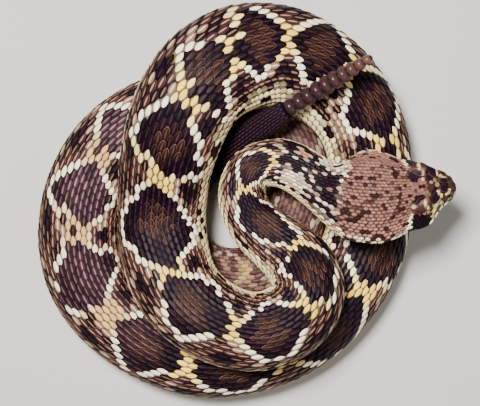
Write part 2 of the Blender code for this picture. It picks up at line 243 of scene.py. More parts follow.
def head_outline(d):
    """The head's outline at one distance from the snout: crown, the snake's left, chin, its right."""
    at = max(d, 0.0)
    lip, brow, top, under = key(LIP, at), key(BROW, at), key(TOP, at), key(UNDER, at)
    groove = 1.0 if 1.0 < at < 50 else 0.25

    def side(lip):
        return [
            (0.32 * brow, top), (0.66 * brow, 0.985 * top), (0.90 * brow, 0.94 * top),
            (brow, 0.84 * top), (brow + 0.30 * (lip - brow), 0.62 * top),
            (brow + 0.72 * (lip - brow), 0.36 * top), (lip, 0.13 * top), (0.99 * lip, 0.45),
            (0.99 * lip - groove, 0.0), (0.97 * lip, -0.45), (0.93 * lip, -0.32 * under),
            (0.80 * lip, -0.70 * under), (0.50 * lip, -0.95 * under),
        ]

    right = [(-y, z) for y, z in reversed(side(lip + key(RIGHT_FLARE, at)))]
    loop = np.array([(0.0, top)] + side(lip) + [(0.0, -under)] + right)
    loop -= 0.45 * unit(loop)
    if d < 0:
        loop = (0.0, 1.2) + (loop - (0.0, 1.2)) * math.sqrt(max(0.0, 1 - (d / 0.7) ** 2))
    p0, p2, p3 = np.roll(loop, 1, 0), np.roll(loop, -1, 0), np.roll(loop, -2, 0)
    t = (np.arange(8) / 8)[None, :, None]
    p0, p1, p2, p3 = p0[:, None], loop[:, None], p2[:, None], p3[:, None]
    smooth = 0.5 * (2 * p1 + (p2 - p0) * t + (2 * p0 - 5 * p1 + 4 * p2 - p3) * t ** 2
                    + (3 * p1 - p0 - 3 * p2 + p3) * t ** 3)
    return smooth.reshape(-1, 2)


forward = unit(np.array([1.0, 0.06, 0.02]))
side_way = unit(np.cross((0.0, 0.0, 1.0), forward))
crown_way = math.cos(HEAD_ROLL) * np.cross(forward, side_way) + math.sin(HEAD_ROLL) * side_way
side_way = np.cross(crown_way, forward)
HEAD_AXES = np.array([forward, side_way, crown_way])
HEAD_BASE = spine[0] - tangent[0] * GAP / 2 - crown_way * 0.9
square = HEAD_AXES @ -tangent[0]

head_d = np.concatenate([[-0.7, -0.66, -0.55, -0.35], np.arange(0.0, HEAD_LENGTH - 0.3, 0.8)])
rings, mouth_at = [], []
for d in head_d:
    outline = head_outline(d)
    lean = (square[1] * outline[:, 0] + square[2] * (outline[:, 1] - 0.9)) / square[0]
    turn = max(0.0, (d - 34) / 30) ** 1.5
    local = np.stack([HEAD_LENGTH - d - turn * lean, outline[:, 0] - cheek_bow(d), outline[:, 1]], axis=1)
    ring, walked = walk_round(HEAD_BASE + local @ HEAD_AXES, 0.0)
    rings.append(ring)
    mouth_at.append((walked[72] / max(walked[-1], 1e-6), 1 - walked[152] / max(walked[-1], 1e-6)))
mouth_at[0] = mouth_at[1]
mouth_at = np.array(mouth_at)
angles = np.linspace(0, 2 * math.pi, 240, endpoint=False)
body_s = np.arange(GAP / 2, tail_end, RING_STEP)
for place in body_s:
    rings.append(walk_round(body_ring(place, angles), float(key(ROLL, place)))[0])
rings.append(np.repeat(spine[[int(np.argmin(np.abs(along - tail_end)))]], COLUMNS + 1, axis=0))
ring_s = np.concatenate([head_d - HEAD_LENGTH, body_s, [tail_end]])
hide = np.array(rings)

# The hide runs smoothly from the back of the head into the neck.
join = np.abs(ring_s) < 9.0
for _ in range(14):
    mean = hide.copy()
    mean[1:-1] = 0.5 * (hide[:-2] + hide[2:])
    hide[join] += 0.6 * (mean - hide)[join]

down_hide = np.gradient(hide, ring_s, axis=0)
round_hide = np.concatenate([hide[:, 1:] - hide[:, :-1], hide[:, 1:2] - hide[:, :1]], axis=1)
round_hide = 0.5 * (round_hide + np.concatenate([round_hide[:, -2:-1], round_hide[:, :-1]], axis=1))
hide_out = unit(np.cross(round_hide, down_hide) + 1e-9)
ring_length = np.linalg.norm(np.diff(hide, axis=1), axis=2).sum(axis=1)
down_rate = np.linalg.norm(down_hide, axis=2)


EYE_FORWARD = 45.0
EYE_SHIFT = cheek_bow(HEAD_LENGTH - EYE_FORWARD)
RIM_WIDTH = 0.45


def eye_spot(side):
    """The middle of an eye in the head's own axes: forward, to its left, up out of the crown."""
    return np.array((EYE_FORWARD, side * 12.9 - EYE_SHIFT, 6.9))


def pit_spot(side):
    return np.array((53.5, side * 11.6 - 0.4, 4.9))


def nostril_spot(side):
    return np.array((60.8, side * 6.9, 5.8))


def eye_frame(side):
    """An eye's own axes: ahead, above and out of the head."""
    way = unit(np.array((0.12, side * 0.94, 0.30)))
    ahead = unit(np.array((1.0, 0.0, 0.0)) - way * way[0])
    return ahead, np.cross(way, ahead) * side, way


def head_relief(points):
    """Brow ridges, eye hollows and their rims, heat pits and nostrils, pressed into the plain head."""
    local = (points - HEAD_BASE) @ HEAD_AXES.T
    for side in (1, -1):
        aside = local[:, 1] - side * 10.6 + EYE_SHIFT
        rise = np.exp(-((local[:, 0] - 44.5) / 6.0) ** 2 - (aside / 3.2) ** 2)
        local[:, 2] += 1.5 * rise * np.clip((local[:, 2] - 5.5) / 3.0, 0.0, 1.0)
        shelf = np.exp(-((local[:, 0] - 44.8) / 6.0) ** 2 - ((local[:, 2] - 11.4) / 2.0) ** 2)
        local[:, 1] += side * 2.0 * shelf * np.clip((side * (local[:, 1] + EYE_SHIFT) - 8.0) / 3.0, 0.0, 1.0)
        for centre, way, radius, depth, rim in (
                (eye_spot(side), eye_frame(side)[2], 2.9, 2.3, 0.5),
                (pit_spot(side), (0.50, side * 0.84, 0.10), 1.25, 1.7, 0.15),
                (nostril_spot(side), (0.60, side * 0.75, 0.25), 0.75, 0.9, 0.15)):
            way = unit(np.array(way))
            off = local - centre
            high = off @ way
            wide = np.linalg.norm(off - high[:, None] * way, axis=1)
            here = (high > -2.5) & (high < 5.0)
            sunk = np.clip((radius + 0.25 - wide) / 0.5, 0.0, 1.0)
            ridge = rim * np.exp(-((wide - radius - RIM_WIDTH) / RIM_WIDTH) ** 2)
            push = ridge - depth * sunk * sunk * (3 - 2 * sunk)
            local += np.where(here, push, 0.0)[:, None] * way
    return HEAD_BASE + local @ HEAD_AXES


def spread(values, s, q):
    """Values kept for the rings and columns of the hide, read anywhere on it."""
    row = np.interp(s, ring_s, np.arange(len(ring_s)))
    column = np.mod(q + 0.5, 1.0) * COLUMNS
    i = np.clip(row.astype(int), 0, len(ring_s) - 2)
    j = np.clip(column.astype(int), 0, COLUMNS - 1)
    u, v = row - i, column - j
    if values.ndim == 3:
        u, v = u[..., None], v[..., None]
    return ((1 - u) * ((1 - v) * values[i, j] + v * values[i, j + 1])
            + u * ((1 - v) * values[i + 1, j] + v * values[i + 1, j + 1]))


def on_hide(s, q, height):
    """Points over the hide: s along the snake from the back of the head, q round it."""
    s, q, height = np.broadcast_arrays(s, q, height)
    made = spread(hide, s, q) + unit(spread(hide_out, s, q)) * height[..., None]
    front = s < -18.0
    made[front] = head_relief(made[front])
    made[..., 2] = np.maximum(made[..., 2], 0.02)  # what lies on the floor is pressed flat
    return made


# The markings, the same for hide and scales. Each scale has three tones: its middle, its tip and its keel.
# The keel tone is mostly lighter than the middle: a painted highlight along the keel, on the flank partly
# also the pale colour of the streaks. Dark diamonds with brown hearts run down the back, each bordered by
# one row of cream and yellow scales. The flanks are streaked brown over cream, and the tail is black.
BLACK = np.array([0.0045, 0.0010, 0.0032])
# Painted highlight: the faint glint along the keel of a black scale.
KEEL_GLINT = np.array([0.026, 0.009, 0.016])
BROWN = np.array([0.046, 0.013, 0.011])
TAN = np.array([0.30, 0.110, 0.065])
CREAM = np.array([0.96, 0.82, 0.58])
YELLOW = np.array([0.90, 0.60, 0.13])
PINK_TAN = np.array([0.60, 0.34, 0.15])
STREAK = np.array([0.034, 0.011, 0.012])
STREAK_EDGE = np.array([0.36, 0.20, 0.125])
PALE_FLANK = np.array([0.92, 0.74, 0.36])
BELLY = np.array([0.80, 0.70, 0.44])
CROWN = np.array([0.170, 0.080, 0.060])
# The dark tips of the crown scales: partly the dark skin between them, partly painted shade in the gaps.
CROWN_EDGE_AND_SHADE = np.array([0.030, 0.008, 0.007])
HIND = np.array([0.100, 0.050, 0.042])
# Painted highlight: the glint along the keels of the black tail scales.
TAIL_KEEL_GLINT = np.array([0.050, 0.031, 0.034])
FADED = np.array([0.036, 0.014, 0.020])
HEART_EDGE = np.array([0.30, 0.150, 0.095])
# Painted highlight: the pale glint along the keels of the faded diamonds.
FADED_KEEL_GLINT = np.array([0.26, 0.135, 0.135])
FACE_PALE = YELLOW * 0.55 + CREAM * 0.35
FACE_BROWN = np.array([0.042, 0.017, 0.013])
# The distance from one scale to the next along a row, the count of rows from the back down to the belly
# plates, and the share of the way round that they take.
PITCH = [
    (-64, 2.2), (-4, 3.2), (10, 3.8), (30, 4.2), (60, 4.6), (120, 5.2), (200, 5.8), (300, 6.0),
    (700, 6.2), (900, 6.2), (1050, 5.6), (1184, 4.6), (1250, 3.6), (1300, 3.0),
]
ROWS = [(0, 15.0), (60, 13.6), (120, 14.0), (900, 14.0), (1080, 12.4), (1184, 10.6), (1300, 7.2)]
ROW_SHARE = 0.362
# Where each border crosses the back, its half length and its lean. Then the outer corners of the
# diamond behind it: along the snake and round it, on the left, and the same on the right.
BORDERS = [
    (48, 2.2, 0, 60, 0.115, 60, 0.125), (75, 2.4, -10, 94, 0.132, 92, 0.132),
    (128, 3.2, -44, 134, 0.144, 147, 0.137), (163, 3.2, -10, 181, 0.140, 185, 0.146),
    (208, 4.0, -10, 229, 0.137, 231, 0.147), (257, 4.0, -20, 284, 0.152, 291, 0.170),
    (331, 5.2, -60, 338, 0.148, 349, 0.152), (372, 3.2, -58, 375, 0.150, 386, 0.132),
    (404, 3.6, -60, 419, 0.116, 417, 0.150), (438, 3.2, -20, 459, 0.137, 457, 0.140),
    (475, 3.0, -20, 499, 0.140, 498, 0.140), (520, 4.0, -30, 541, 0.145, 541, 0.150),
    (564, 3.8, 0, 585, 0.165, 585, 0.165), (609, 4.7, 15, 637, 0.180, 637, 0.175),
    (667, 4.4, 0, 694, 0.170, 696, 0.145), (723, 5.0, 0, 750, 0.165, 752, 0.152),
    (778, 7.0, 0, 810, 0.160, 800, 0.146), (834, 7.2, -30, 857, 0.135, 853, 0.157),
    (881, 5.6, -20, 902, 0.145, 900, 0.150), (922, 4.4, 0, 941, 0.140, 941, 0.140),
    (962, 4.2, 0, 982, 0.140, 982, 0.140), (1003, 4.0, 0, 1023, 0.140, 1023, 0.140),
    (1043, 3.8, 0, 1062, 0.135, 1062, 0.135), (1082, 3.6, 0, 1100, 0.130, 1100, 0.130),
    (1118, 3.4, 0, 1135, 0.130, 1135, 0.130), (1152, 3.2, 0, 1169, 0.130, 1169, 0.130),
    (1186, 3.0, 0, 1200, 0.130, 1200, 0.130),
]
CLUSTER_SIDE = 0.045  # half of a yellow cluster, as a share of the way round
BORDER_BOW = 1.35  # how much a border bulges between a cluster and a corner
# How far round the dark streaks of the nape reach, and where the flank's streaks give way to cream.
NAPE_RIGHT_EDGE = [(0, -0.13), (12, -0.124), (22, -0.068), (30, -0.066), (37, -0.011), (47, -0.02)]
NAPE_LEFT_EDGE = [(0, 0.05), (9, 0.085), (17, 0.115), (24, 0.17), (47, 0.2)]
STREAKS_END_LEFT = [(0, 0.16), (100, 0.19), (230, 0.19), (255, 0.160), (440, 0.155), (470, 0.19)]
STREAKS_END_RIGHT = [(0, 0.09), (40, 0.10), (70, 0.17), (120, 0.225)]
# Spots: distance along the snake from the back of the head, share of the way round, half sizes.
NAPE_SPOTS = [
    (8, -0.080, 6.0, 0.036), (11, -0.005, 6.0, 0.020), (45.4, 0.073, 2.2, 0.014), (43, -0.015, 3.5, 0.014),
    (39.5, -0.100, 3.0, 0.010), (27, -0.170, 3.0, 0.012), (20, -0.062, 3.5, 0.012),
]
FLANK_SPOTS = [
    (280, 0.188, 4.5, 0.014), (303, 0.175, 5.0, 0.016), (319, 0.118, 6.5, 0.018), (352, 0.182, 5.0, 0.015),
    (361, 0.118, 4.5, 0.015), (398, 0.168, 6.0, 0.017), (445, 0.152, 6.5, 0.015), (439, 0.095, 4.0, 0.016),
    (284, 0.235, 4.0, 0.012), (330, 0.225, 4.5, 0.014), (375, 0.225, 4.0, 0.013), (425, 0.205, 4.5, 0.013),
    (248, 0.148, 4.5, 0.012), (209, 0.150, 3.5, 0.010), (207, 0.095, 3.5, 0.015), (160, 0.122, 4.5, 0.020),
]
CROWN_SPOTS = [
    (-30.8, 0.005, 1.7, 0.012), (-30.2, -0.038, 1.7, 0.013), (-30.3, -0.068, 1.0, 0.008),
    (-30.2, -0.104, 2.4, 0.016), (-26.5, -0.045, 1.1, 0.009), (-24.0, -0.012, 1.4, 0.010),
    (-16.5, -0.028, 2.5, 0.011), (-14.2, 0.043, 2.4, 0.010), (-7.0, 0.043, 2.7, 0.013),
    (-10.5, 0.021, 1.5, 0.009), (-3.0, 0.018, 1.4, 0.008), (-5.8, -0.040, 1.2, 0.008),
    (-4.3, -0.075, 1.4, 0.013), (-12.0, -0.108, 2.2, 0.009), (-9.0, -0.125, 2.2, 0.010),
    (-6.5, -0.145, 2.2, 0.013), (-3.5, -0.112, 2.6, 0.013), (-22.5, -0.175, 1.4, 0.010),
    (-33.0, -0.190, 1.3, 0.011), (-28.7, 0.076, 2.0, 0.017), (-27.5, 0.105, 1.7, 0.010),
    (-33.8, 0.015, 1.2, 0.010), (-36.3, 0.064, 1.4, 0.010), (-33.0, 0.112, 1.4, 0.010),
    (-45.3, 0.002, 1.3, 0.012), (-42.3, -0.005, 1.1, 0.014), (-39.2, -0.015, 1.1, 0.010),
    (-36.3, -0.050, 1.2, 0.009), (-21.6, -0.080, 1.2, 0.010), (-30.0, 0.195, 2.8, 0.020),
    (-15.5, 0.165, 2.2, 0.012), (-8.5, 0.190, 2.4, 0.012), (-19.0, -0.205, 1.8, 0.011),
    (-12.5, -0.190, 1.6, 0.010), (-25.5, -0.140, 1.3, 0.010), (-34.5, -0.075, 1.1, 0.009),
]

# Markings of the face, in the order they are laid over each other: distance behind the snout, share of
# the way round, half sizes, and how pale they are.
FACE_MARKS = [
    (7.0, -0.005, 3.2, 0.055, 0), (7.6, -0.065, 1.8, 0.035, 0), (4.8, 0.065, 1.6, 0.025, 0),
    (12.2, 0.130, 1.8, 0.050, 0), (15.0, 0.135, 2.2, 0.060, 0), (14.6, 0.065, 3.7, 0.042, 0),
    (22.6, 0.068, 3.1, 0.030, 0), (24.8, 0.075, 2.4, 0.024, 0), (23.6, 0.042, 2.0, 0.018, 0),
    (13.9, -0.075, 2.8, 0.044, 0), (12.0, -0.035, 1.6, 0.020, 0), (12.3, -0.110, 2.4, 0.016, 0),
    (21.8, -0.066, 3.1, 0.021, 0), (24.6, -0.088, 2.5, 0.017, 0), (7.6, 0.092, 2.1, 0.020, 0),
    (7.8, 0.063, 2.1, 0.008, 0.55), (10.6, 0.100, 0.6, 0.036, 0.7), (7.0, 0.125, 2.0, 0.008, 0.5),
    (18.8, 0.060, 0.5, 0.034, 0.6), (20.9, 0.110, 0.9, 0.020, 0.7), (26.5, 0.118, 1.0, 0.010, 0.5),
    (11.8, 0.022, 0.8, 0.012, 0.7), (14.5, 0.012, 1.1, 0.008, 0.8), (10.4, 0.002, 0.7, 0.010, 0.7),
    (10.8, -0.070, 0.6, 0.020, 0.75), (9.4, -0.100, 0.8, 0.016, 0.7), (16.6, -0.045, 0.7, 0.014, 0.5),
    (19.6, -0.100, 0.8, 0.016, 0.7), (18.2, -0.132, 0.7, 0.020, 0.7), (25.6, -0.105, 1.0, 0.008, 0.5),
    (4.4, -0.070, 0.9, 0.014, 0.8), (6.3, -0.102, 1.0, 0.010, 0.7), (5.0, -0.185, 0.7, 0.020, 0.7),
    (12.2, -0.190, 3.4, 0.058, 0.8), (12.2, 0.215, 3.2, 0.030, 0.8), (16.6, -0.215, 2.2, 0.016, 0.6),
]


def toss(*numbers):
    """A fixed draw from 0 to 1 for each scale, from its row and its count along the body."""
    mixed = sum(np.asarray(n, float) * k for n, k in zip(numbers, (12.9898, 78.233, 37.719)))
    return np.mod(np.sin(mixed) * 43758.5453, 1.0)


def tones(middle, rim, keel_and_glint):
    """A scale's three tones together: middle, tip, and keel with its painted highlight."""
    return np.stack(np.broadcast_arrays(middle, rim, keel_and_glint), axis=-2)


def over(colours, new, share):
    """Some tones painted over others, fully where the share is 1."""
    return colours + (new - colours) * np.clip(share, 0.0, 1.0)[..., None, None]


def spotted(s, q, spots):
    """How deep each place lies in the nearest of the spots: above 0 inside it, and -1 far away."""
    depth = np.full(np.shape(s), -1.0)
    for at_s, at_q, long, wide in spots:
        depth = np.maximum(depth, 1.0 - np.hypot((s - at_s) / long, (q - at_q) / wide))
    return depth


def rows_round(s):
    """The count of rows of scales from the back down to the belly plates."""
    return key(ROWS, s)


def body_marks(s, q, luck, other):
    """The tones of a scale on the body."""
    cuts, spans, leans, left_s, left_q, right_s, right_q = np.array(BORDERS, float).T
    k = np.clip(np.searchsorted(cuts, s) - 1, 0, len(cuts) - 2)
    side, sign = np.abs(q), np.where(q > 0, 1.0, -1.0)
    corner_s, corner_q = np.where(q > 0, left_s[k], right_s[k]), np.where(q > 0, left_q[k], right_q[k])
    start = cuts[k] + spans[k] + 0.05 * sign * leans[k]
    end = cuts[k + 1] - spans[k + 1] + 0.05 * sign * leans[k + 1]
    leg = np.where(s < corner_s, np.maximum(corner_s - start, 3.0), np.maximum(end - corner_s, 3.0))
    t = np.clip(np.where(s < corner_s, s - start, end - s) / leg, 0.0, 1.0)
    wide = corner_q - CLUSTER_SIDE
    line = CLUSTER_SIDE + wide * (1 - (1 - t) ** BORDER_BOW)
    slope = np.where(t > 0, wide * BORDER_BOW * (1 - t) ** (BORDER_BOW - 1) / leg, 0.0)
    row = ROW_SHARE / rows_round(s) * (0.82 + 5.0 * side * side)
    chain_half = 0.45 * np.hypot(row, slope * key(PITCH, s))
    nearest = np.where(s > (cuts[k] + cuts[k + 1]) / 2, k + 1, k)
    from_cut = np.abs(s - cuts[nearest] - leans[nearest] * q)
    centre, reach = (cuts[k] + cuts[k + 1]) / 2, (cuts[k + 1] - cuts[k]) / 2
    faded = np.clip((s - 735) / 50, 0, 1) * np.clip((1000 - s) / 60, 0, 1)
    shine = (0.84 + 0.26 * luck)[..., None, None]

    # The flank: streaked, with dark blotches below each border, and cream towards the belly.
    colours = tones(STREAK, STREAK_EDGE * 0.35, STREAK_EDGE) + np.zeros(np.shape(s) + (3, 3))
    colours = over(colours, tones(STREAK_EDGE * 0.6, STREAK, CREAM * 0.7), luck > 0.84)
    colours = over(colours, tones(BLACK, BLACK, STREAK_EDGE * 0.5), (luck < 0.36) * 0.9)
    low = np.where(q > 0, key(STREAKS_END_LEFT, s), key(STREAKS_END_RIGHT, s))
    pale = (side - low) / 0.03 + (other - 0.5) * 0.9
    colours = over(colours, tones(PALE_FLANK, STREAK_EDGE, CREAM) * shine, pale)
    under = 1.0 - np.hypot(from_cut / 6.0, (side - np.where(q > 0, 0.105, 0.140)) / 0.024)
    lower = 1.0 - np.hypot((s - centre) / 5.5, (side - 0.214) / 0.017)
    dark = np.maximum.reduce([under, lower, spotted(s, q, FLANK_SPOTS)]) * 4 + 0.4 + (luck - 0.5) * 0.8
    colours = over(colours, tones(BLACK, BLACK, KEEL_GLINT), dark)

    # The diamond: black, with a heart of brown scales edged in tan.
    heart = np.hypot((s - centre) / (0.50 * reach), side / 0.080)
    brown = np.clip((1.0 - heart - (luck - 0.5) * 0.5) * 3.0, 0, 1)
    field = tones(BLACK, BLACK, KEEL_GLINT) * (0.6 + 0.9 * luck)[..., None, None]
    heart_tones = tones(BROWN * 0.5, HEART_EDGE, HEART_EDGE * 0.30)
    field = over(field, heart_tones, brown * np.where(other > 0.2, 0.9, 0.3) * 0.8)
    pale_heart = np.clip(1.3 - np.hypot((s - centre) / (0.75 * reach), side / 0.12), 0.25, 1.0)
    faded_tones = tones(FADED, FADED * 0.3, FADED_KEEL_GLINT) * (0.4 + luck)[..., None, None]
    field = over(field, faded_tones, faded * pale_heart)
    colours = over(colours, field, side < line - chain_half)

    # The border: a chain of cream scales on each side, and a yellow cluster where two diamonds meet.
    chain = (np.abs(side - line) <= chain_half) & (s > 48)
    colours = over(colours, tones(CREAM, CREAM * 0.5, CREAM) * (0.9 + 0.14 * luck)[..., None, None], chain)
    gold = over(tones(YELLOW, YELLOW * 0.4, YELLOW * 1.05),
                tones(PINK_TAN, PINK_TAN * 0.4, PINK_TAN * 1.3), faded)
    gold = gold * (0.80 + 0.30 * luck)[..., None, None]
    cluster = (from_cut < spans[nearest]) & (side < CLUSTER_SIDE + 0.5 * row) & (s > 45)
    near_cluster = chain & (from_cut < spans[nearest] + 3.0)
    colours = over(colours, gold, (cluster & (other > 0.05)) + near_cluster * 0.7)

    # The nape: dark streaks over cream and tan, drawn together into a black blotch before the first
    # diamond.
    ground = over(tones(CREAM * 0.85, CREAM * 0.3, CREAM) * shine,
                  tones(TAN, BROWN, TAN * 1.3), (luck > 0.6) * 0.7)
    dark = np.minimum(q - key(NAPE_RIGHT_EDGE, s), key(NAPE_LEFT_EDGE, s) - q) / 0.012
    streak = np.mod((q - 0.005 * s) / 0.046, 1.0) + 0.35 * (other - 0.5) + 0.5 * np.clip((s - 24) / 6, 0, 1)
    dark = np.minimum(dark, (streak - 0.38) * 5)
    dark = np.where(np.hypot((s - 46) / 5.5, (q - 0.07) / 0.05) < 1, -1.0, dark)
    dark = np.maximum(dark, spotted(s, q, NAPE_SPOTS) * 6 + 0.5)
    dark = np.maximum(dark, (0.30 - toss(np.round(q * 46), np.round(s / 9.0), 4.0)) * 8)
    pink = 1.0 - np.hypot((s - 32) / 3.4, (q - 0.09) / 0.022)
    colours = over(colours, over(ground, tones(BLACK, BLACK, KEEL_GLINT), dark), ((47 - s) / 3) * (side < 0.20))
    colours = over(colours, tones(TAN, BROWN, PINK_TAN), (pink * 5 + 0.4) * (s < 40))

    # The hidden hind body is paler and redder, and the tail is black.
    faint = over(tones(HIND, HIND * 0.5, HIND * 1.8),
                 tones(STREAK_EDGE * 0.8, HIND, STREAK_EDGE), (luck > 0.72) * 0.6)
    faint = over(faint, tones(BROWN, BLACK, BROWN * 1.6), (other < 0.30) * 0.8)
    colours = over(colours, faint, np.clip((s - 925) / 30, 0, 1) * 0.78)
    return over(colours, tones(BLACK * 2, BLACK, TAIL_KEEL_GLINT), (s - 1176) / 12 + (luck - 0.5))


def mouth_line(d, q):
    """How far round from the crown the mouth runs, on the side of q."""
    return np.where(q > 0, np.interp(d, head_d, mouth_at[:, 0]), np.interp(d, head_d, mouth_at[:, 1]))


def head_marks(s, q, luck, other):
    """The tones of a scale on the head."""
    d = s + HEAD_LENGTH
    side = np.abs(q)
    mouth = mouth_line(d, q)
    shine = (0.75 + 0.45 * luck)[..., None, None]
    dark_scale = tones(BROWN * 0.45, BLACK, BROWN * 0.9)
    paler = (1 + 0.45 * np.clip((side - 0.11) / 0.09, 0, 1))[..., None, None]
    # Crown scales: a painted highlight on the keels, and dark tips that are partly painted shade in the
    # gaps.
    colours = tones(CROWN, CROWN_EDGE_AND_SHADE, CROWN * 1.9) * shine * paler
    colours = over(colours, dark_scale, (other < 0.06) * 0.8)
    colours = over(colours, dark_scale, spotted(s, q, CROWN_SPOTS) * 6 + 0.6)

    # The face: brown, with dark blotches and cream bars between them.
    ground = over(tones(FACE_BROWN, FACE_BROWN * 0.3, FACE_BROWN * 1.4) * shine,
                  tones(FACE_PALE * 0.5, FACE_BROWN, FACE_PALE * 0.6), (other > 0.80) * (side > 0.05))
    above_eye = np.minimum((27 - d) / 2, (side - 0.095) / 0.012)
    colours = over(colours, ground, np.maximum((18.5 - d) / 2.0, above_eye))
    for at_d, at_q, long, wide, pale in FACE_MARKS:
        depth = 1.0 - np.hypot((d - at_d) / long, (q - at_q) / wide)
        tone = FACE_PALE * pale if pale else BLACK * 2.5
        colours = over(colours, tones(tone, tone * 0.5, tone), depth * 4 + 0.4)

    # The dark cheek band from the eye down to the lip, with pale scales before and behind it.
    front_edge = key([(0.15, 14.6), (0.26, 16.4)], side)
    hind_edge = key([(0.12, 25.6), (0.26, 28.6)], side)
    cheek = (side > 0.145) & (side < mouth + 0.004)
    colours = over(colours, tones(FACE_PALE * 0.8, YELLOW * 0.3, FACE_PALE) * shine,
                   cheek & (d > 9.0) & (d <= front_edge))
    band = np.minimum(d - front_edge, hind_edge - d) * 1.5 + 0.5
    colours = over(colours, tones(BLACK, BLACK, KEEL_GLINT), cheek * band)
    behind = (side > 0.125) & (side < mouth) & (d > hind_edge) & (d < hind_edge + 2.2)
    colours = over(colours, tones(CREAM, CREAM * 0.35, CREAM), behind)

    # The lips and the throat.
    lip = (side > mouth - 0.034) & ((d < front_edge) | (d > hind_edge) | (side > mouth))
    lip_tones = tones(CREAM * 0.92, CREAM * 0.35, CREAM)
    colours = over(colours, lip_tones, lip * np.where(d > 31, 0.55, 1.0))
    colours = over(colours, dark_scale, lip & (other < 0.20) & (d > 30))
    return over(colours, tones(BELLY, BELLY * 0.5, BELLY * 1.1), (side - mouth - 0.03) / 0.02)


def marks(s, q, luck, other):
    """The tones anywhere on the snake."""
    share = (s + 3) / 5 + (luck - 0.5) * 0.8 > 0.5
    return over(head_marks(s, q, luck, other), body_marks(s, q, luck, other), share)


def paint(mesh, colours):
    """The markings, with any painted highlights and shade they carry, kept as a colour for each point of a
    mesh.
    """
    layer = mesh.color_attributes.new("markings", "FLOAT_COLOR", "POINT")
    full = np.ones((len(mesh.vertices), 4), np.float32)
    full[:, :3] = colours.reshape(-1, 3)
    layer.data.foreach_set("color", full.ravel())


def hide_material(name, roughness, grain, depth, coat):
    """The horny outside of a snake: its markings, a fine mottling, and a low satin gloss."""
    mat = bpy.data.materials.new(name)
    mat.use_nodes = True
    nodes, links = mat.node_tree.nodes, mat.node_tree.links
    shader = nodes["Principled BSDF"]
    shader.inputs["Coat Weight"].default_value = coat
    shader.inputs["Coat Roughness"].default_value = 0.25
    shader.inputs["Specular IOR Level"].default_value = 0.07
    marked = nodes.new("ShaderNodeAttribute")
    marked.attribute_name = "markings"
    place = nodes.new("ShaderNodeTexCoord")
    mottle = nodes.new("ShaderNodeTexNoise")
    mottle.inputs["Scale"].default_value = 420.0
    mottle.inputs["Detail"].default_value = 5.0
    links.new(place.outputs["Object"], mottle.inputs["Vector"])
    level = nodes.new("ShaderNodeMapRange")
    level.inputs["To Min"].default_value = 0.72
    level.inputs["To Max"].default_value = 1.22
    links.new(mottle.outputs["Fac"], level.inputs["Value"])
    tone = nodes.new("ShaderNodeVectorMath")
    tone.operation = "SCALE"
    links.new(marked.outputs["Color"], tone.inputs[0])
    links.new(level.outputs["Result"], tone.inputs["Scale"])
    links.new(tone.outputs["Vector"], shader.inputs["Base Color"])
    fine = nodes.new("ShaderNodeTexNoise")
    fine.inputs["Scale"].default_value = grain
    fine.inputs["Detail"].default_value = 4.0
    links.new(place.outputs["Object"], fine.inputs["Vector"])
    gloss = nodes.new("ShaderNodeMapRange")
    gloss.inputs["To Min"].default_value = roughness - 0.10
    gloss.inputs["To Max"].default_value = roughness + 0.12
    links.new(fine.outputs["Fac"], gloss.inputs["Value"])
    links.new(gloss.outputs["Result"], shader.inputs["Roughness"])
    bump = nodes.new("ShaderNodeBump")
    bump.inputs["Strength"].default_value = 0.6
    bump.inputs["Distance"].default_value = depth
    links.new(fine.outputs["Fac"], bump.inputs["Height"])
    links.new(bump.outputs["Normal"], shader.inputs["Normal"])
    return mat


def add_piece(name, mesh, mat):
    """A finished mesh as a piece that rides on the snake's one body."""
    mesh.materials.append(mat)
    mesh.shade_smooth()
    obj = bpy.data.objects.new(name, mesh)
    bpy.context.scene.collection.objects.link(obj)
    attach(obj, "root" if "root" in frame["bodies"] else list(frame["bodies"])[0])
    return obj


# The hide is cut as one flat sheet, finer at the face, which is then wrapped round the snake and
# sewn along the belly. Its flat places give the colour map, folded into three strips.
STRIPS = 3
bm = bmesh.new()
bmesh.ops.create_grid(bm, x_segments=COLUMNS, y_segments=len(ring_s) - 1, size=0.5, calc_uvs=True)
last_row = len(ring_s) - 1
face_rows = int(np.searchsorted(head_d, 32.0))
front = [e for e in bm.edges if max(v.co.y for v in e.verts) < face_rows / last_row - 0.5 + 1e-6]
bmesh.ops.subdivide_edges(bm, edges=front, cuts=1, use_grid_fill=True)
flat = np.array([v.co[:2] for v in bm.verts])
flat_s = np.interp((flat[:, 1] + 0.5) * last_row, np.arange(last_row + 1), ring_s)
wrapped = on_hide(flat_s, np.minimum(flat[:, 0], 0.49999), 0.0)
s_layer, q_layer = bm.verts.layers.float.new("down"), bm.verts.layers.float.new("round")
uv_layer = bm.loops.layers.uv.new("OFBake")
strip_length = (ring_s[-1] - ring_s[0]) / STRIPS
for face in bm.faces:
    middle = face.calc_center_median()
    face_s = np.interp((middle.y + 0.5) * last_row, np.arange(last_row + 1), ring_s)
    strip = min(int((face_s - ring_s[0]) / strip_length), STRIPS - 1)
    for loop in face.loops:
        s_here = flat_s[loop.vert.index]
        loop[uv_layer].uv = (0.01 + 0.97 * (s_here - ring_s[0] - strip * strip_length) / strip_length,
                             (strip + 0.03 + 0.94 * (loop.vert.co.x + 0.5)) / STRIPS)
for v, spot, s_here in zip(bm.verts, wrapped, flat_s):
    v[s_layer], v[q_layer] = s_here, v.co.x
    v.co = spot * MM
bmesh.ops.remove_doubles(bm, verts=bm.verts, dist=2e-6)
bmesh.ops.recalc_face_normals(bm, faces=bm.faces)
hide_tree = BVHTree.FromBMesh(bm)
mesh = bpy.data.meshes.new("hide")
bm.to_mesh(mesh)
bm.free()
down, across = np.empty(len(mesh.vertices), np.float32), np.empty(len(mesh.vertices), np.float32)
mesh.attributes["down"].data.foreach_get("value", down)
mesh.attributes["round"].data.foreach_get("value", across)
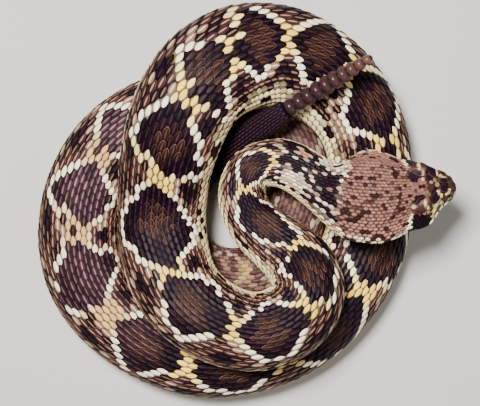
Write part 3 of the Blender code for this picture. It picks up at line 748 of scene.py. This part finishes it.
# Between the scales the hide is darker, partly its own dark colour and partly painted shade, and it is
# painted near black with shade in the pits, nostrils, eye hollows and the crease of the mouth.
even_draw = np.full(len(down), 0.5)
hide_tone_and_shade = marks(down.astype(float), across.astype(float), even_draw, even_draw)[:, 0]
belly = np.clip((np.abs(across) - 0.36) / 0.02, 0, 1) * (down < 1170)
hide_tone_and_shade = hide_tone_and_shade * 0.14 + BLACK + (BELLY * 0.6 - hide_tone_and_shade * 0.14) * belly[:, None]
places = np.array([v.co[:] for v in mesh.vertices]) / MM
local = (places - HEAD_BASE) @ HEAD_AXES.T
# Painted shade in the hollows of the head and along the mouth.
hollow_shade = np.zeros(len(down))
for side in (1, -1):
    for centre, radius in ((pit_spot(side), 1.5), (nostril_spot(side), 1.0), (eye_spot(side), 3.4)):
        hollow_shade = np.maximum(hollow_shade, 2.0 - 1.6 * np.linalg.norm(local - centre, axis=1) / radius)
from_mouth = np.abs(np.abs(across) - mouth_line(down + HEAD_LENGTH, across))
from_mouth = from_mouth * np.interp(down, ring_s, ring_length)
hollow_shade = np.maximum(hollow_shade, (1.2 - from_mouth) * (down < -14))
hide_tone_and_shade += (BLACK * 2 - hide_tone_and_shade) * np.clip(hollow_shade, 0, 1)[:, None]
paint(mesh, hide_tone_and_shade)
skin = add_piece("hide", mesh, hide_material("snake_hide", 0.62, 1800.0, 0.00012, 0.0))
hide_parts("head", "neck", "tail", *["body_%02d" % n for n in range(1, 15)])

# Back and flank scales: 29 rows round the middle of the body, fewer at the neck and tail. Each is a
# keeled horny plate with its root under the scales in front of it and its tip lifted. One plate is
# shaped once and its copies are wrapped on the hide, in rows set half a step apart.
PATCH = 0.003  # the width of a scale's patch on the colour map
LAP, BREADTH = 1.34, 1.18  # a scale's length and width, as shares of its place in the rows
TIP_LIFT = 0.10
COUNT_STEP = 0.5
steps = np.arange(-70.0, 1310.0, COUNT_STEP)
counted = np.cumsum(COUNT_STEP / key(PITCH, steps))
counted -= np.interp(0.0, steps, counted)


def thickened(bm):
    """A flat outline given a top one unit above it."""
    made = bmesh.ops.extrude_face_region(bm, geom=bm.faces[:])
    raised = [v for v in made["geom"] if isinstance(v, bmesh.types.BMVert)]
    bmesh.ops.translate(bm, vec=(0, 0, 1), verts=raised)


def read_off(bm):
    """A finished shape's points, its faces' corners, and where each face's corners start."""
    bmesh.ops.recalc_face_normals(bm, faces=bm.faces)
    made = bpy.data.meshes.new("plate")
    bm.to_mesh(made)
    bm.free()
    points = np.array([v.co[:] for v in made.vertices])
    corners = np.array([loop.vertex_index for loop in made.loops])
    starts = np.array([face.loop_start for face in made.polygons])
    bpy.data.meshes.remove(made)
    return points, corners, starts


def plate_shape(segments, taper, insets, keeled_top=False, square=2.0):
    """One scale a unit long and wide, with the share of each tone at each point. The outline is round
    for a square of 2. Each inset says how much shorter and narrower the top gets, and its rise."""
    bm = bmesh.new()
    bmesh.ops.create_circle(bm, cap_ends=True, segments=segments, radius=0.5)
    for v in bm.verts:
        v.co *= 0.5 / (abs(v.co.x) ** square + abs(v.co.y) ** square) ** (1 / square)
        v.co.y *= 1.0 - taper * (abs(v.co.x) * 2) ** 3 - 0.10 * max(v.co.x, 0.0) * 2
    thickened(bm)
    top = [f for f in bm.faces if all(v.co.z > 0.5 for v in f.verts)]
    for shorter, narrower, rise in insets:
        bmesh.ops.inset_region(bm, faces=top, thickness=0.002, depth=0.0, use_even_offset=True)
        for v in {v for f in top for v in f.verts}:
            v.co = (v.co.x * shorter, v.co.y * narrower, v.co.z + rise)
    bmesh.ops.poke(bm, faces=top)
    points, corners, starts = read_off(bm)
    rim = np.clip((points[:, 0] + 0.15) / 0.4, 0.0, 1.0) * (points[:, 2] < 1.05)
    ridge = 1.0 * ((points[:, 2] > points[:, 2].max() - 0.01) & keeled_top)
    return points, corners, starts, np.stack([1 - rim - ridge, rim, ridge], axis=1)


def spread_out(shape, s, q, length, width, turn=0.0):
    """Where each corner of each plate comes on the hide's flat sheet."""
    s, q, length, width, turn = [
        np.asarray(a, float).reshape(-1, 1) for a in np.broadcast_arrays(s, q, length, width, turn)]
    x, y = shape[0][:, 0] * length, shape[0][:, 1] * width
    x, y = x * np.cos(turn) - y * np.sin(turn), x * np.sin(turn) + y * np.cos(turn)
    rate = np.clip(spread(down_rate, s, q), 0.35, 1.6)
    return s + x / rate, q - y / np.maximum(np.interp(s, ring_s, ring_length), 8.0)


def lay(shape, s, q, length, width, thick, lift, sink=0.25, turn=0.0):
    """Copies of one plate wrapped on the hide, one for each root."""
    corner_s, corner_q = spread_out(shape, s, q, length, width, turn)
    thick, lift = np.asarray(thick, float).reshape(-1, 1), np.asarray(lift, float).reshape(-1, 1)
    return on_hide(corner_s, corner_q, (shape[0][:, 0] + 0.5) * lift - sink + shape[0][:, 2] * thick)


def joined(name, shape, places, s, q, colours, mat, span):
    """All copies as one mesh, with their colours and their places on the unwrapped hide. The colours
    are three tones for each plate, or one colour for each corner."""
    points, corners, starts, shares = shape
    n, count = len(places), len(points)
    mesh = bpy.data.meshes.new(name)
    mesh.vertices.add(n * count)
    mesh.vertices.foreach_set("co", (places * MM).astype(np.float32).ravel())
    mesh.loops.add(n * len(corners))
    all_corners = corners + count * np.arange(n)[:, None]
    mesh.loops.foreach_set("vertex_index", all_corners.astype(np.int32).ravel())
    mesh.polygons.add(n * len(starts))
    all_starts = starts + len(corners) * np.arange(n)[:, None]
    mesh.polygons.foreach_set("loop_start", all_starts.astype(np.int32).ravel())
    mesh.update(calc_edges=True)
    mesh.validate()
    paint(mesh, np.einsum("ck,nkd->ncd", shares, colours) if colours.shape[1] == 3 else colours)
    u = 0.01 + 0.98 * (s - span[0]) / (span[1] - span[0])
    v = 0.01 + 0.98 * (q + 0.5)
    uv = np.stack([u[:, None] + PATCH * points[None, corners, 0],
                   v[:, None] + PATCH * points[None, corners, 1]], axis=2)
    mesh.uv_layers.new(name="OFBake").data.foreach_set("uv", uv.astype(np.float32).ravel())
    return add_piece(name, mesh, mat)


def row_place(k, s):
    """How far round the hide the k-th row from the back lies: narrow rows on the back, wide ones low."""
    at = k / rows_round(s)
    return ROW_SHARE * at * (0.82 + 0.18 * at * at)


scale_mat = hide_material("keeled_scales", 0.42, 2600.0, 0.00006, 0.0)
keeled = plate_shape(12, 0.34, ((0.87, 0.84, 0.22), (0.88, 0.40, 0.10), (0.95, 0.36, 0.50)), True)
every, row = np.meshgrid(np.arange(-3, 300), np.arange(-15, 16), indexing="ij")
every, row = every.ravel(), row.ravel()
root_s = np.interp(every + 0.5 * (row % 2), counted, steps)
root_q = row_place(row, root_s)
kept = (np.abs(root_q) < 0.372) & (root_s > -0.6) & (root_s < tail_end - 2.0)
every, row, root_s, root_q = every[kept], row[kept], root_s[kept], root_q[kept]
luck, other = toss(every, row), toss(row, every + 7.0, 3.0)
pitch = key(PITCH, root_s) * np.clip(spread(down_rate, root_s, root_q), 0.45, 1.12)
spacing = (row_place(np.abs(row) + 0.5, root_s) - row_place(np.abs(row) - 0.5, root_s))
spacing = spacing * np.interp(root_s, ring_s, ring_length)
colours = marks(root_s, root_q, luck, other)
size = 0.94 + 0.10 * toss(every, row, 5.0)
size = np.where(colours[:, 0].mean(axis=1) > 0.30, 0.84 * size, size)
thick = 0.15 + 0.04 * spacing
turn = 0.12 * (toss(row, every, 11.0) - 0.5)
placed = lay(keeled, root_s, root_q, LAP * pitch * size, BREADTH * spacing * size, thick,
             TIP_LIFT * pitch, turn=turn)
for name, first, last in (("scales_neck", -1, 200), ("scales_upper_ring_a", 200, 400),
                          ("scales_upper_ring_b", 400, 600), ("scales_outer_ring_a", 600, 780),
                          ("scales_outer_ring_b", 780, 960), ("scales_hind", 960, 1180),
                          ("scales_tail", 1180, 1300)):
    pick = (root_s >= first) & (root_s < last)
    joined(name, keeled, placed[pick], root_s[pick], root_q[pick], colours[pick], scale_mat,
           (first - 5, last + 5))

# The wide plates of the belly, one for each pair of ribs, each from side to side under the snake and
# lapped over the next. They are smooth and glossier than the back.
belly_mat = hide_material("belly_plates", 0.36, 1500.0, 0.00005, 0.15)
bm = bmesh.new()
bmesh.ops.create_grid(bm, x_segments=2, y_segments=12, size=0.5)
thickened(bm)
for v in bm.verts:
    if v.co.z > 0.5 and abs(v.co.x) < 0.1:
        v.co.z += 0.5
points, corners, starts = read_off(bm)
shares = np.where(np.abs(points[:, 1:2]) > 0.4, (0.0, 1.0, 0.0), (1.0, 0.0, 0.0))
scute = (points, corners, starts, shares)
every = np.arange(0, 300)
root_s = np.interp(every + 0.25, counted, steps)
every, root_s = every[root_s < tail_end - 3.0], root_s[root_s < tail_end - 3.0]
root_q = np.full(len(root_s), 0.5)
luck = toss(every, 3.0, 1.0)
colours = tones(BELLY, CREAM, BELLY) * (0.85 + 0.25 * luck)[:, None, None]
colours = over(colours, tones(STREAK, STREAK_EDGE, STREAK) * 1.3, (toss(every, 9.0) < 0.3) * 0.5)
colours = over(colours, tones(BLACK, BLACK, BLACK), (root_s - 1176) / 14)
pitch = key(PITCH, root_s)
wide = 0.268 * np.interp(root_s, ring_s, ring_length)
placed = lay(scute, root_s, root_q, 1.22 * pitch, wide, 0.28, 0.06 * pitch, 0.15)
joined("belly_scutes", scute, placed, root_s, root_q, colours, belly_mat, (-10, 1300))

# The large plates of the head: rostral, nasals, internasals, canthals and the brow plates that shade
# the eyes, with a ring of small scales round each eye. Each is pressed onto the hide from outside.
# Places are in the head's own axes: forward, to its left, up out of the crown.
PLATES = [
    # forward, left and up, length, width, turn in degrees
    (43.8, 11.0, 12.5, 12.0, 8.2, 4),
    (51.4, 7.6, 11.0, 6.6, 6.2, 14),
    (50.6, 11.9, 8.0, 4.6, 3.0, 6),
    (56.8, 2.4, 10.2, 6.2, 4.7, 4),
    (56.6, 7.4, 8.4, 5.4, 4.6, 14),
    (61.4, 2.2, 8.4, 3.8, 4.2, 0),
    (62.0, 5.4, 5.8, 3.2, 3.6, 0),
    (58.4, 8.8, 5.4, 3.6, 3.6, 0),
    (49.0, 14.0, 4.6, 5.0, 3.0, 6),
]
PLATE_SINK = 0.2
REACH = 9.0


def nearest_root(points):
    """Where on the flat sheet of the hide each of some points lies."""
    roots = []
    for point in points:
        i, j = np.unravel_index(np.argmin(np.sum((hide[:90] - point) ** 2, axis=2)), hide[:90].shape[:2])
        roots.append((ring_s[i], ACROSS[j]))
    return np.array(roots).T


def pressed(shape, spot, way, ahead, length, width, thick, sink=PLATE_SINK):
    """One plate pressed onto the hide: its length runs back from the given way ahead."""
    way = unit(np.array(way))
    back = -unit(np.array(ahead) - way * (way @ np.array(ahead)))
    across_way = np.cross(way, back)
    made = []
    for x, y, z in shape[0]:
        start = np.array(spot) + back * x * length + across_way * y * width + way * REACH
        world_way = way @ HEAD_AXES
        start_point = Vector((HEAD_BASE + start @ HEAD_AXES) * MM)
        hit = hide_tree.ray_cast(start_point, Vector(-world_way), 2 * REACH * MM)[0]
        ground = np.array(hit) / MM if hit else HEAD_BASE + (start - way * REACH) @ HEAD_AXES
        made.append(ground + world_way * (z * thick - sink))
    return made


broad = plate_shape(32, 0.16, ((0.94, 0.92, 0.30), (0.86, 0.84, 0.25), (0.82, 0.80, 0.16),
                               (0.75, 0.75, 0.08), (0.66, 0.66, 0.03), (0.5, 0.5, 0.01)), square=2.3)
made_plates, plate_colours, footprints = [], [], []
for place_x, place_y, place_z, length, width, turn in PLATES:
    for side in (1, -1):
        spot = np.array((place_x, side * place_y - cheek_bow(HEAD_LENGTH - place_x), place_z))
        s_here, q_here = nearest_root([HEAD_BASE + spot @ HEAD_AXES])
        angle = -side * math.radians(turn)
        made_plates.append(lay(broad, s_here, q_here, length, width, 0.42, 0.15, PLATE_SINK, angle)[0])
        corner_s, corner_q = spread_out(broad, s_here, q_here, length, width, angle)
        plate_marks = marks(corner_s, corner_q, 0.6 + 0 * corner_s, 0.5 + 0 * corner_s)
        middle, tip = np.moveaxis(plate_marks[0, :, :2], 1, 0)
        edge = 0.5 * (broad[0][:, 2] < 1.05)[:, None]
        plate_colours.append(middle + (0.25 * YELLOW + 0.4 * tip - middle) * edge)
        footprints.append((spot, length, width))
for spot, way, height, width, tone in (
        ((64.6, 0.0, 2.3), (1.0, 0.0, 0.1), 5.2, 4.8, FACE_BROWN * 1.8),
        ((63.9, 0.0, -1.9), (1.0, 0.0, -0.4), 3.0, 4.4, CREAM * 0.7),
        ((63.6, 4.1, 1.9), (0.85, 0.6, 0.1), 3.6, 3.4, CREAM * 0.5),
        ((63.6, -4.1, 1.9), (0.85, -0.6, 0.1), 3.6, 3.4, CREAM * 0.5),
        ((63.0, 3.6, -1.9), (0.8, 0.5, -0.4), 2.8, 3.6, CREAM * 0.7),
        ((63.0, -3.6, -1.9), (0.8, -0.5, -0.4), 2.8, 3.6, CREAM * 0.7)):
    made_plates.append(pressed(broad, spot, way, (0.0, 0.0, 1.0), height, width, 0.30))
    plate_colours.append(np.where(broad[0][:, 2:] < 1.05, 0.5 * tone, tone))
    footprints.append((np.array(spot), height, width))
plate_s, plate_q = nearest_root([np.mean(p, axis=0) for p in made_plates])
head_mat = hide_material("head_scales", 0.46, 2600.0, 0.00006, 0.0)
joined("head_plates", broad, np.array(made_plates), plate_s, plate_q, np.array(plate_colours), head_mat,
       (-70, 5))

EYE_RADIUS = 3.3
EYE_SCALES = 15
EYE_RING = 4.05
smooth = plate_shape(12, 0.14, ((0.86, 0.86, 0.28), (0.62, 0.62, 0.14)), square=2.4)
ring_plates, ring_colours = [], []
for side in (1, -1):
    eye = eye_spot(side)
    ahead, above, way = eye_frame(side)
    for n in range(EYE_SCALES):
        angle = 2 * math.pi * (n + 0.5) / EYE_SCALES
        spoke = math.cos(angle) * ahead + math.sin(angle) * above
        if math.sin(angle) > 0.40:
            continue
        around = -math.sin(angle) * ahead + math.cos(angle) * above
        ring_plates.append(pressed(smooth, eye + spoke * EYE_RING, way, around, 1.9, 1.6, 0.40))
        tone = YELLOW * 0.8 if n % 3 == 0 else BROWN * 1.6
        ring_colours.append(tones(tone, tone * 0.4, tone))
plate_s, plate_q = nearest_root([np.mean(p, axis=0) for p in ring_plates])
joined("eye_rings", smooth, np.array(ring_plates), plate_s, plate_q, np.array(ring_colours), head_mat,
       (-70, 5))

# The small scales of the head: fine keeled rows on the crown and cheeks, round pebbles between the
# eyes, and smooth scales on the snout. They leave room for the plates, eyes, pits and nostrils.
HEAD_ZONES = [
    # name, from and to behind the snout, row as a share of the way round, pitch at both ends
    ("scales_crown", 27.0, 65.0, 0.0148, 1.9, 2.8),
    ("scales_brow", 13.4, 27.0, 0.0205, 1.7, 1.8),
    ("scales_snout", 1.0, 13.4, 0.0330, 2.1, 2.1),
]
LABIAL_HEIGHT = 3.2
MOUTH_CORNER = 51.0


def head_free(s, q, margin):
    """True where a small scale's root is clear of the plates, eyes, pits and nostrils."""
    local = (on_hide(s, q, 0.0) - HEAD_BASE) @ HEAD_AXES.T
    free = np.full(len(s), True)
    for spot, length, width in footprints:
        off = local - spot
        aside = np.hypot(off[:, 1], off[:, 2])
        free &= np.hypot(off[:, 0] / (0.38 * length), aside / (0.38 * width)) > 1.0
    for side in (1, -1):
        for centre, radius in ((eye_spot(side), EYE_RADIUS + 1.0), (pit_spot(side), 1.7),
                               (nostril_spot(side), 1.1)):
            free &= np.linalg.norm(local - centre, axis=1) > radius + margin
    return free


for name, first, last, share, near, far in HEAD_ZONES:
    count = int(2 * (last - first) / (near + far))
    limit = int(0.32 / share)
    every, row = np.meshgrid(np.arange(count), np.arange(-limit, limit + 1), indexing="ij")
    every, row = every.ravel(), row.ravel()
    at = (every + 0.5 * (row % 2)) / count
    pitch = near + (far - near) * at
    luck, other = toss(every, row, 2.0), toss(row + 0.5, every, 5.0)
    d = first + (last - first) * (near * at + (far - near) * at * at / 2) / ((near + far) / 2)
    root_s = d - HEAD_LENGTH + 0.22 * pitch * (luck - 0.5)
    root_q = share * (row + 0.22 * (other - 0.5))
    girth = np.interp(root_s, ring_s, ring_length)
    edge = np.where(d < MOUTH_CORNER, mouth_line(d, root_q) - (LABIAL_HEIGHT + 0.3) / girth, 0.32)
    kept = (np.abs(root_q) < edge) & head_free(root_s, root_q, 0.25)
    root_s, root_q, pitch, girth = root_s[kept], root_q[kept], pitch[kept], girth[kept]
    luck, other = luck[kept], other[kept]
    colours = marks(root_s, root_q, luck, other)
    turn = 0.45 * (toss(root_s, root_q) - 0.5) * (0.4 if name == "scales_crown" else 1.0)
    shape = keeled if name == "scales_crown" else smooth
    width = share * girth
    grown = 1.12 if shape is smooth else 1.0
    placed = lay(shape, root_s, root_q, 1.30 * grown * pitch, 1.10 * grown * width,
                 0.17 + 0.04 * pitch, TIP_LIFT * pitch, PLATE_SINK, turn)
    joined(name, shape, placed, root_s, root_q, colours, head_mat, (-70, 5))

# The lips: a row of upper and of lower labial scales along each side of the mouth, and behind and
# below them the smooth scales of the throat.
labial = plate_shape(20, 0.0, ((0.90, 0.88, 0.30), (0.72, 0.70, 0.20), (0.5, 0.5, 0.05)), square=4.0)
places, roots_s, roots_q = [], [], []
for side in (1, -1):
    for above, height, pitch in ((1, LABIAL_HEIGHT, 3.2), (-1, 3.1, 3.0)):
        d = np.arange(2.6, MOUTH_CORNER, pitch)
        girth = np.interp(d, head_d, ring_length[:len(head_d)])
        q = side * (mouth_line(d, side) - above * (0.5 * height + 0.20) / girth)
        places.append(lay(labial, d - HEAD_LENGTH, q, 1.14 * pitch, 1.04 * height, 0.34, 0.12,
                          PLATE_SINK, -0.12 * side * above))
        roots_s.append(d - HEAD_LENGTH)
        roots_q.append(q)
root_s, root_q = np.concatenate(roots_s), np.concatenate(roots_q)
luck, other = toss(root_s, root_q), toss(root_q * 50, root_s)
colours = marks(root_s, root_q, luck, other)
joined("labials", labial, np.concatenate(places), root_s, root_q, colours, head_mat, (-70, 5))

# The throat, in rows from the belly plates up to the lower lip.
every, row = np.meshgrid(np.arange(18), np.arange(-11, 12), indexing="ij")
every, row = every.ravel(), row.ravel()
root_s = 3.7 * (every + 0.5 * (row % 2)) + 3.0 - HEAD_LENGTH
root_q = 0.5 + 0.0235 * row
root_q = np.where(root_q > 0.5, root_q - 1.0, root_q)
girth = np.interp(root_s, ring_s, ring_length)
edge = np.where(root_s < MOUTH_CORNER - HEAD_LENGTH,
                mouth_line(root_s + HEAD_LENGTH, root_q) + 3.2 / girth, 0.325)
kept = np.abs(root_q) > edge
root_s, root_q, girth = root_s[kept], root_q[kept], girth[kept]
luck, other = toss(root_s, root_q), toss(root_q * 50, root_s)
colours = marks(root_s, root_q, luck, other)
placed = lay(smooth, root_s, root_q, 4.9, 0.028 * girth, 0.32, 0.35, PLATE_SINK)
joined("throat_scales", smooth, placed, root_s, root_q, colours, head_mat, (-70, 5))

# The eyes: balls sunk in the head below the brow plates, each with a golden brown iris round a slit
# pupil that stands upright, under a clear glossy scale.
IRIS_RADIUS = 2.1
IRIS = np.array([0.34, 0.20, 0.075])
for side, name in ((1, "eye_left"), (-1, "eye_right")):
    bm = bmesh.new()
    bmesh.ops.create_uvsphere(bm, u_segments=64, v_segments=64, radius=EYE_RADIUS)
    ball = np.array([v.co[:] for v in bm.verts])
    local = eye_spot(side) + ball @ np.array(eye_frame(side))
    for v, spot in zip(bm.verts, HEAD_BASE + local @ HEAD_AXES):
        v.co = spot * MM
    bmesh.ops.recalc_face_normals(bm, faces=bm.faces)
    mesh = bpy.data.meshes.new(name)
    bm.to_mesh(mesh)
    bm.free()
    off = np.hypot(ball[:, 0], ball[:, 1])
    slit = np.abs(ball[:, 0]) < 0.50 * (1 - (ball[:, 1] / IRIS_RADIUS) ** 2)
    rays = 0.75 + 0.35 * toss(np.round(np.arctan2(ball[:, 1], ball[:, 0]) * 9))
    iris = IRIS * rays[:, None]
    shade = iris + (BLACK - iris) * np.clip((off - IRIS_RADIUS) * 2.2, 0, 1)[:, None]
    shade = np.where((slit & (ball[:, 2] > 0))[:, None], BLACK * 0.4, shade)
    paint(mesh, np.where((ball[:, 2] > 0)[:, None], shade, BLACK))
    eye = add_piece(name, mesh, hide_material(name + "_gloss", 0.14, 900.0, 0.00001, 1.0))
    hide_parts(name)

# The rattle: ten hollow horny segments locked in one another, each with a fat lobe, a waist and a
# groove along both sides, smaller and paler towards the old ones at the tip.
RATTLE_GIRTH = [(0, 5.6), (3, 6.2), (5, 6.1), (6, 5.6), (7, 4.8), (8, 4.0), (9, 3.0)]
SEGMENTS = 10
LOBE = [
    (0.00, 0.70), (0.03, 0.79), (0.08, 0.87), (0.16, 0.945), (0.27, 0.99), (0.40, 1.01), (0.54, 0.99),
    (0.66, 0.94), (0.76, 0.87), (0.84, 0.79), (0.90, 0.72), (0.95, 0.68), (0.985, 0.66),
]
segment_lengths = [6.5 - 0.02 * k * k for k in range(SEGMENTS)]
HORN = np.array([0.030, 0.012, 0.014])
OLD_HORN = np.array([0.10, 0.045, 0.034])
here = int(np.argmin(np.abs(along - tail_end)))
rattle_way, rattle_up, rattle_left = tangent[here], back_way[here], left_way[here]
rattle_base = spine[here] + rattle_way * GAP / 2
stations = [(k, share, swell) for k in range(SEGMENTS) for share, swell in LOBE]
round_places = 40
bm = bmesh.new()
bmesh.ops.create_grid(bm, x_segments=round_places, y_segments=len(stations) - 1, size=0.5)
grid = np.array([v.co[:2] for v in bm.verts])
tone_and_shade_layer = bm.verts.layers.float_vector.new("tone")
for v, (x, y) in zip(bm.verts, grid):
    k, share, swell = stations[int(round((y + 0.5) * (len(stations) - 1)))]
    angle = 2 * math.pi * (x + 0.5)
    size = float(key(RATTLE_GIRTH, k)) * swell * (1.0 - 0.10 * abs(math.sin(angle)) ** 10)
    spot = rattle_base + rattle_way * (sum(segment_lengths[:k]) + share * segment_lengths[k])
    spot = spot + size * (math.sin(angle) * rattle_left + 1.12 * math.cos(angle) * rattle_up)
    v.co = spot * MM
    # Painted shade: each segment is darker where it narrows into the next.
    groove = 1.0 - 0.75 * max(0.0, 1.0 - (swell - 0.66) / 0.16)
    v[tone_and_shade_layer] = (HORN + (OLD_HORN - HORN) * (k / (SEGMENTS - 1)) ** 3) * groove
bmesh.ops.remove_doubles(bm, verts=bm.verts, dist=1e-6)
ends = bmesh.ops.holes_fill(bm, edges=[e for e in bm.edges if e.is_boundary], sides=0)["faces"]
bmesh.ops.inset_region(bm, faces=ends, thickness=0.0012, depth=0.0006)
bmesh.ops.recalc_face_normals(bm, faces=bm.faces)
mesh = bpy.data.meshes.new("rattle")
bm.to_mesh(mesh)
bm.free()
segment_tones_and_shade = np.empty(len(mesh.vertices) * 3, np.float32)
mesh.attributes["tone"].data.foreach_get("vector", segment_tones_and_shade)
paint(mesh, segment_tones_and_shade.reshape(-1, 3).astype(float))
rattle = add_piece("rattle", mesh, hide_material("rattle_horn", 0.30, 700.0, 0.00012, 0.25))
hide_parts("rattle")

# The floor and the light. A plain pale floor, and soft studio lights from above, the main one on the
# upper left of the picture.
bm = bmesh.new()
bmesh.ops.create_grid(bm, x_segments=1, y_segments=1, size=4.0)
mesh = bpy.data.meshes.new("studio_floor")
bm.to_mesh(mesh)
bm.free()
floor = bpy.data.objects.new("studio_floor", mesh)
bpy.context.scene.collection.objects.link(floor)
mat = bpy.data.materials.new("pale_paper")
mat.use_nodes = True
mat.node_tree.nodes["Principled BSDF"].inputs["Base Color"].default_value = (0.52, 0.49, 0.46, 1.0)
mat.node_tree.nodes["Principled BSDF"].inputs["Roughness"].default_value = 0.85
mesh.materials.append(mat)

for name, place, size, power in (
        ("main_light", (-0.22, 0.26, 1.10), 0.24, 36.0),
        ("fill_light", (0.70, -0.55, 0.80), 0.80, 5.0)):
    light = bpy.data.lights.new(name, "AREA")
    light.energy = power
    light.size = size
    lamp = bpy.data.objects.new(name, light)
    lamp.location = place
    lamp.rotation_euler = (-Vector(place)).to_track_quat("-Z", "Y").to_euler()
    bpy.context.scene.collection.objects.link(lamp)
world = bpy.data.worlds.new("studio")
world.use_nodes = True
world.node_tree.nodes["Background"].inputs["Color"].default_value = (0.95, 0.97, 1.0, 1.0)
world.node_tree.nodes["Background"].inputs["Strength"].default_value = 0.12
bpy.context.scene.world = world
